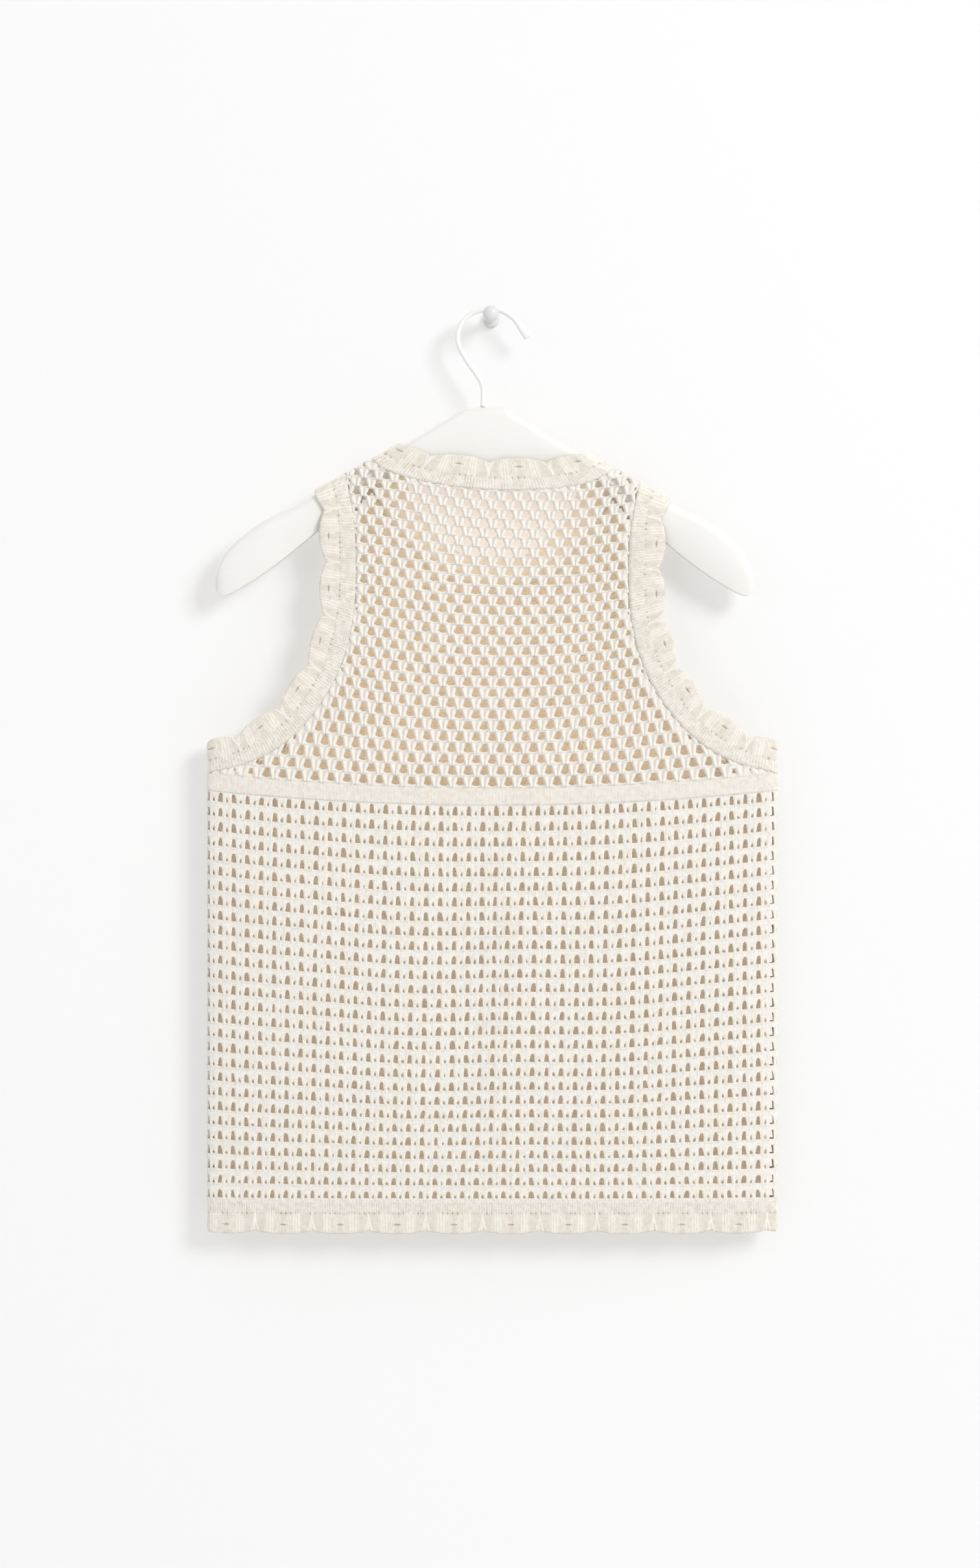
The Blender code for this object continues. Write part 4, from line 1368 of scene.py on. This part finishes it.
@dataclass
class Hook:
    """White coated wire hook that widens into a flat tip."""

    finish: PaintFinish
    form: HungForm
    radius: float = 0.0018
    around: int = 20
    between: int = 10
    blade: float = 0.7
    blade_length: float = 0.0130
    tip_length: float = 0.0035
    path: tuple[tuple[float, float], ...] = (
        (-0.0057, -0.0670), (-0.0057, -0.0530), (-0.0098, -0.0445), (-0.0168, -0.0345),
        (-0.0225, -0.0236), (-0.0230, -0.0145), (-0.0195, -0.0064), (-0.0123, -0.0005),
        (-0.0014, 0.0018), (0.0082, 0.0005), (0.0159, -0.0045), (0.0214, -0.0114),
        (0.0264, -0.0173))
    tip: tuple[tuple[float, float], ...] = (
        (-0.0030, 1.0), (-0.0020, 1.08), (-0.0010, 1.14), (-0.0004, 1.12), (0.0, 1.02),
        (0.0005, 0.80), (0.0008, 0.45), (0.0009, 0.06))

    def build(self) -> bpy.types.Object:
        """Sweeps the wire round its path and closes the tip in a small dome."""
        line = smooth_path(np.array(self.path), self.between)
        lengths = lengths_along(line)
        places = np.concatenate([lengths[lengths < lengths[-1] - self.tip_length],
                                 [lengths[-1] + ahead for ahead, _ in self.tip]])
        scale = np.concatenate([np.ones(len(places) - len(self.tip)), [s for _, s in self.tip]])
        run = (line[-1] - line[-2]) / np.linalg.norm(line[-1] - line[-2])
        past = np.maximum(places - lengths[-1], 0.0)[:, None] * run
        middle = np.column_stack([np.interp(places, lengths, line[:, k]) for k in (0, 1)]) + past
        ahead = np.gradient(middle, axis=0)
        ahead /= np.linalg.norm(ahead, axis=1)[:, None]
        side = np.column_stack([-ahead[:, 1], ahead[:, 0]])
        angle = np.linspace(0.0, 2 * math.pi, self.around, endpoint=False)
        into_blade = (places - lengths[-1] + self.blade_length) / self.blade_length
        blade = 1.0 + self.blade * ease(into_blade)
        thick = self.radius * np.minimum(scale, 1.2)[:, None]
        wide = self.radius * (scale * blade)[:, None]
        x = middle[:, :1] + side[:, :1] * np.cos(angle) * wide
        z = middle[:, 1:] + side[:, 1:] * np.cos(angle) * wide
        y = np.sin(angle)[None, :] * thick
        points = np.column_stack([x.ravel(), self.form.hang_y + y.ravel(),
                                  self.form.hook_top + z.ravel()])
        blank = np.column_stack([np.repeat(places, self.around) * 400, np.tile(angle, len(places))])
        draft = MeshDraft(points, swept(len(places), self.around), blank, np.zeros(len(points)))
        return dress(draft.make("white_hook"), self.finish.material(), "wire", "hanger_hook")


@dataclass
class Peg:
    """Turned wall peg: flange, stem and domed head."""

    finish: PaintFinish
    around: int = 64
    flange: float = 0.0058
    flange_thick: float = 0.0025
    stem: float = 0.0025
    head: float = 0.0056
    head_start: float = 0.0240
    length: float = 0.0330

    def profile(self) -> np.ndarray:
        """Radius and distance from the wall, from the middle of the back to the dome's top."""
        soft = 0.0005
        corner = [(math.sin(a), 1 - math.cos(a)) for a in np.linspace(0, math.pi / 2, 5)]
        rows = [(0.0001, 0.0), (self.flange, 0.0)]
        rows += [(self.flange - soft * up, self.flange_thick - soft + soft * out)
                 for out, up in corner]
        rows += [(self.stem + 0.0008, self.flange_thick), (self.stem, self.flange_thick + 0.0010),
                 (self.stem, self.head_start - 0.0003), (self.stem + 0.0003, self.head_start),
                 (self.head * 0.80, self.head_start), (self.head * 0.92, self.head_start + 0.0006),
                 (self.head * 0.99, self.head_start + 0.0022)]
        middle = (self.head_start + self.length) / 2
        for angle in np.linspace(0.0, math.pi / 2 * 0.985, 14):
            rows.append((self.head * math.cos(angle), middle + (self.length - middle) * math.sin(angle)))
        return np.array(rows)

    def build(self) -> bpy.types.Object:
        """Turns the profile round the peg's axis."""
        profile = self.profile()
        angle = np.linspace(0.0, 2 * math.pi, self.around, endpoint=False)
        x = profile[:, :1] * np.cos(angle)
        z = profile[:, :1] * np.sin(angle)
        y = np.repeat(-profile[:, 1], self.around)
        points = np.column_stack([x.ravel(), y, z.ravel()])
        faces = [block[:, ::-1] for block in swept(len(profile), self.around)]
        blank = points[:, (0, 2)] * 100
        draft = MeshDraft(points, faces, blank, np.zeros(len(points)))
        return dress(draft.make("white_peg"), self.finish.material(), "peg", "wall_peg")


# The top


@dataclass
class KnitTop:
    """The sleeveless top: two layers of net and band, the lining and the trims."""

    form: HungForm
    knit: YarnFinish
    leaf: YarnFinish
    course: YarnFinish
    trim: YarnFinish
    jersey: JerseyFinish
    slope_length: float = 1.14463
    trim_width: float = 0.0230
    body_height: float = 0.2890
    band_height: float = 0.0125
    yoke_height: float = 0.2200
    yoke_area: dict[Layer, float] = field(
        default_factory=lambda: {Layer.BACK: 0.0470, Layer.FRONT: 0.0370})

    def neck_curves(self) -> tuple[dict[Layer, NeckCurve], dict[Layer, NeckCurve]]:
        """The free and the sewn curve of the neck on each layer."""
        form = self.form
        net_x = form.neck_x + self.trim_width / self.slope_length
        net_z = form.neck_z - form.slope * (net_x - form.neck_x)
        free = {Layer.BACK: NeckCurve(form.neck_x, form.neck_z, 0.0085, 2.0),
                Layer.FRONT: NeckCurve(form.neck_x, form.neck_z, 0.0765, 2.1)}
        sewn = {Layer.BACK: NeckCurve(net_x, net_z, 0.0203, 2.0),
                Layer.FRONT: NeckCurve(net_x, net_z, 0.0893, 2.2)}
        return free, sewn

    def build(self) -> list[bpy.types.Object]:
        """Makes every cloth piece in order."""
        armhole = ArmholeCurve(self.form)
        free, sewn = self.neck_curves()
        knit, leaf, course = (finish.material() for finish in (self.knit, self.leaf, self.course))
        made = []
        girth = 2 * self.form.half_girth()
        for layer in Layer:
            node = layer.word + "_panel"
            body = BodyNet(self.form, layer).draft().make(f"{layer.word}_body_net")
            dress(body, course, "knit", node)
            band = SolidBand(self.form, layer).draft().make(f"{layer.word}_solid_band")
            dress(band, knit, "knit", node)
            region = YokeRegion(self.form, armhole, sewn[layer])
            yoke = YokeNet(self.form, layer, region).draft().make(f"{layer.word}_yoke_net")
            dress(yoke, leaf, "knit", node)
            made += [body, band, yoke]
        made.append(self.lining(armhole, sewn[Layer.FRONT]))
        return made + TrimSet(self.form, armhole, self.trim, free, sewn).build()

    def lining(self, armhole: ArmholeCurve, neck: NeckCurve) -> bpy.types.Object:
        """Makes the jersey lining behind the front's holes."""
        draft = Lining(self.form, armhole, neck).draft()
        piece = dress(draft.make("jersey_lining"), self.jersey.material(), "lining", "front_lining")
        return piece


@dataclass
class Lining:
    """Plain lining just inside the front layer, with a few soft folds."""

    form: HungForm
    armhole: ArmholeCurve
    neck: NeckCurve
    side_share: float = 0.970
    yoke_share: float = 0.992
    below_neck: float = -0.0010
    below_shoulder: float = 0.0300
    bottom: float = -0.6340
    set_in: float = 0.0025
    wall: float = 0.0010
    cell: float = 0.0040
    rows: int = 120
    yoke_foot: float = -0.3250
    fold_depth: float = 0.0006
    stitch: float = 0.0016

    def half_width(self, z: np.ndarray) -> np.ndarray:
        """Half the lining's width at a height."""
        in_yoke = ease((z + 0.300) / 0.030)
        share = self.side_share + (self.yoke_share - self.side_share) * in_yoke
        return share * self.armhole.net_half_width(z)

    def top(self, x: np.ndarray) -> np.ndarray:
        """Height of the lining's upper edge."""
        share = np.clip(np.abs(x) / self.neck.half_width, 0.0, 1.0)
        round_share = (1 - share ** self.neck.power) ** (1 / self.neck.power)
        scoop = self.neck.top - self.neck.drop * round_share
        return np.minimum(scoop - self.below_neck, self.form.shoulder(x) - self.below_shoulder)

    def draft(self) -> MeshDraft:
        """Lays a grid under the lining's upper edge and closes it into a thin wall."""
        count = int(2 * self.form.fold_half * self.side_share / self.cell)
        share = np.linspace(-1.0, 1.0, count + 1)[:, None]
        up = np.linspace(0.0, 1.0, self.rows + 1)[None, :]
        level = self.bottom + up * (self.yoke_foot - self.bottom) * 2
        x = np.where(level > self.yoke_foot, share * self.half_width(level),
                     share * self.side_share * self.form.fold_half)
        z = np.minimum(level, self.top(x))
        flat = np.column_stack([x.ravel(), z.ravel()])
        fold = self.fold_depth * np.sin(x.ravel() * 95 + 2.0 * np.sin(z.ravel() * 21))
        depth = -self.set_in - self.fold_depth
        outer = self.form.place(flat, Layer.FRONT, depth + fold)
        inner = self.form.place(flat, Layer.FRONT, depth - self.wall + fold)
        across, tall = x.shape
        number = np.arange(across * tall).reshape(across, tall)
        quads = np.stack([number[:-1, :-1], number[1:, :-1], number[1:, 1:], number[:-1, 1:]],
                         axis=-1).reshape(-1, 4)
        quads = drop_slivers(outer, quads, 1e-8)
        size = across * tall
        rim = outer_edges(quads)
        sides = np.column_stack([rim[:, 1], rim[:, 0], rim[:, 0] + size, rim[:, 1] + size])
        faces = [quads[:, ::-1], quads + size, sides[:, ::-1]]
        stitches = np.vstack([flat, flat]) / self.stitch
        return MeshDraft(np.vstack([outer, inner]), faces, stitches, np.zeros(2 * size))


def outer_edges(quads: np.ndarray) -> np.ndarray:
    """Edges that belong to one face only, in the order that the face runs."""
    edges = np.concatenate([quads[:, (k, (k + 1) % 4)] for k in range(4)])
    key = np.sort(edges, axis=1)
    _, place, times = np.unique(key, axis=0, return_inverse=True, return_counts=True)
    return edges[times[place.reshape(-1)] == 1]


# Studio


@dataclass(frozen=True)
class Lamp:
    """Soft square lamp: its place, its turn in degrees, its side and its power."""

    name: str
    place: tuple[float, float, float]
    turn: tuple[float, float, float]
    side: float
    power: float

    def build(self) -> None:
        """Adds the lamp."""
        data = bpy.data.lights.new(self.name, "AREA")
        data.size, data.energy = self.side, self.power
        lamp = add_object(self.name, data)
        lamp.location = self.place
        lamp.rotation_euler = tuple(math.radians(angle) for angle in self.turn)


@dataclass
class Studio:
    """Camera, soft light, pale wall and pale floor.

    The wall and the floor are planes from the low height, the wall up to the high one. The wall
    glows a little, and behind the neck a warm painted glow is added, a painted pool of light where
    the tan lining would throw light on it.
    """

    distance: float = 2.0
    lens: float = 65.45
    aim_x: float = -0.0005
    aim_z: float = -0.330
    cloth_y: float = -0.028
    # Colour and place of a warm painted glow on the wall behind the neck.
    painted_neck_glow: tuple[float, float, float] = (0.115, 0.063, 0.034)
    neck_light_z: float = -0.140
    neck_light_wide: float = 0.095
    neck_light_tall: float = 0.045
    room_light: float = 0.80
    wall_y: float = 0.0006
    wall_half: float = 3.0
    floor_half: float = 6.0
    low: float = -1.15
    high: float = 2.4
    wall_colour: tuple[float, float, float] = (0.545, 0.560, 0.575)
    wall_glow: tuple[float, float, float] = (0.308, 0.290, 0.272)
    floor_grey: float = 0.72
    lamps: tuple[Lamp, ...] = (
        Lamp("key", (3.3, -3.75, 2.1), (63.0, 0.0, 41.0), 1.8, 155.0),
        Lamp("fill", (-1.6, -1.8, 0.1), (80.0, 0.0, -42.0), 1.4, 3.0),
        Lamp("rim", (-0.9, 2.4, 0.8), (-65.0, 0.0, 20.0), 1.6, 40.0))

    def camera(self) -> None:
        """Sets the camera square to the wall, as in the photograph."""
        data = bpy.data.cameras.new("camera")
        data.lens, data.sensor_width = self.lens, 36.0
        data.clip_start, data.clip_end = 0.05, 50.0
        camera = add_object("camera", data)
        camera.location = (self.aim_x, self.cloth_y - self.distance, self.aim_z)
        camera.rotation_euler = (math.pi / 2, 0.0, 0.0)
        bpy.context.scene.camera = camera

    def painted_neck_glow_share(self, graph: Graph) -> Tone:
        """Share of the warm painted glow on the wall behind the neck, a painted pool of light."""
        geometry = graph.add("ShaderNodeNewGeometry")
        place = graph.add("ShaderNodeSeparateXYZ", {}, {0: geometry.outputs["Position"]})
        across = Tone(graph, place.outputs[0]) / self.neck_light_wide
        up = (Tone(graph, place.outputs[2]) - self.neck_light_z) / self.neck_light_tall
        return 1.0 - (across * across + up * up).between(0.55, 1.0)

    def backdrop(self, name: str, corners: list[tuple[float, float, float]],
                 colour: tuple[float, float, float]) -> tuple[bpy.types.Object, Graph]:
        """Adds a pale plane of the studio.

        Args:
            name: name of the plane.
            corners: its four corners.
            colour: linear red, green and blue of its paint.

        Returns:
            The plane and the nodes of its paint.
        """
        mesh = bpy.data.meshes.new(name)
        mesh.from_pydata(corners, [], [(0, 1, 2, 3)])
        plane = add_object(name, mesh)
        graph = Graph(name + "_paint")
        speck = graph.noise(40.0, 3.0)
        darker = np.array(colour) * 0.95
        plaster = graph.blend(speck * 0.1, paint(*colour), paint(*darker))
        graph.feed({"Base Color": plaster, "Roughness": 0.9, "Specular IOR Level": 0.1})
        mesh.materials.append(graph.material)
        return plane, graph

    def wall(self) -> None:
        """Adds the wall, which is seen from the room's side only and stops no light."""
        half, y, low, high = self.wall_half, self.wall_y, self.low, self.high
        corners = [(-half, y, low), (half, y, low), (half, y, high), (-half, y, high)]
        plane, graph = self.backdrop("pale_wall", corners, self.wall_colour)
        # Painted light: the wall glows warmer behind the neck.
        warm = np.array(self.wall_glow) + self.painted_neck_glow
        glow = graph.blend(self.painted_neck_glow_share(graph), paint(*self.wall_glow), paint(*warm))
        graph.feed({"Emission Color": glow, "Emission Strength": 1.0})
        clear = graph.add("ShaderNodeBsdfTransparent").outputs[0]
        back = graph.add("ShaderNodeNewGeometry").outputs["Backfacing"]
        mixed = graph.add("ShaderNodeMixShader", {}, {0: back, 1: graph.shader.outputs[0], 2: clear})
        graph.join(graph.tree.nodes["Material Output"].inputs["Surface"], mixed.outputs[0])
        plane.visible_shadow = False

    def floor(self) -> None:
        """Adds the floor."""
        half, low = self.floor_half, self.low
        corners = [(-half, -half, low), (half, -half, low), (half, half, low), (-half, half, low)]
        self.backdrop("pale_floor", corners, (self.floor_grey,) * 3)

    def build(self) -> None:
        """Sets the camera, the lights and the pale planes."""
        self.camera()
        world = bpy.data.worlds.new("room")
        bpy.context.scene.world = world
        world.use_nodes = True
        room = world.node_tree.nodes["Background"]
        room.inputs["Color"].default_value = (1.0, 1.0, 1.0, 1.0)
        room.inputs["Strength"].default_value = self.room_light
        bpy.context.scene.view_settings.view_transform = "Standard"
        for lamp in self.lamps:
            lamp.build()
        self.wall()
        self.floor()


def report(pieces: list[bpy.types.Object]) -> None:
    """Logs each piece with its count of triangles."""
    scene_state = bpy.context.evaluated_depsgraph_get()
    total = 0
    for piece in pieces:
        mesh = piece.evaluated_get(scene_state).data
        mesh.calc_loop_triangles()
        total += len(mesh.loop_triangles)
        LOG.info("%s: %d triangles", piece.name, len(mesh.loop_triangles))
    LOG.info("all pieces: %d triangles", total)


def main() -> None:
    """Builds the studio, the hanger and the top, and reports each piece."""
    logging.basicConfig(level=logging.INFO, format="%(message)s")
    Studio().build()
    form = HungForm()
    wood = PaintFinish("white_painted_wood", paint(0.79, 0.78, 0.755), paint(0.71, 0.695, 0.66), 0.38,
                       0.00008, (0.25, 1.0, 1.6))
    wire = PaintFinish("white_coated_wire", paint(0.84, 0.835, 0.825), paint(0.74, 0.73, 0.72), 0.28,
                       0.00003)
    peg = PaintFinish("white_peg_paint", paint(0.70, 0.70, 0.70), paint(0.52, 0.52, 0.53), 0.40,
                      0.00003)
    knit = YarnFinish("ecru_net_yarn", paint(0.965, 0.93, 0.865), paint(0.70, 0.62, 0.52))
    leaf = YarnFinish("ecru_leaf_yarn", paint(0.82, 0.79, 0.735), knit.shade, stitch_shade=0.15,
                       hollow_shade=0.38, leaf_shade=0.08)
    course = YarnFinish("ecru_course_yarn", knit.light, knit.shade, row_courses=7)
    trim = YarnFinish("ecru_rib_yarn", paint(0.915, 0.88, 0.815), paint(0.56, 0.50, 0.41),
                      loop_height=0.00025, stitch_shade=0.9, rib_course=8.17)
    pieces = [Hanger(wood, form).build(), Hook(wire, form).build(), Peg(peg).build()]
    pieces += KnitTop(form, knit, leaf, course, trim, JerseyFinish()).build()
    report(pieces)


if __name__ == "__main__":
    main()
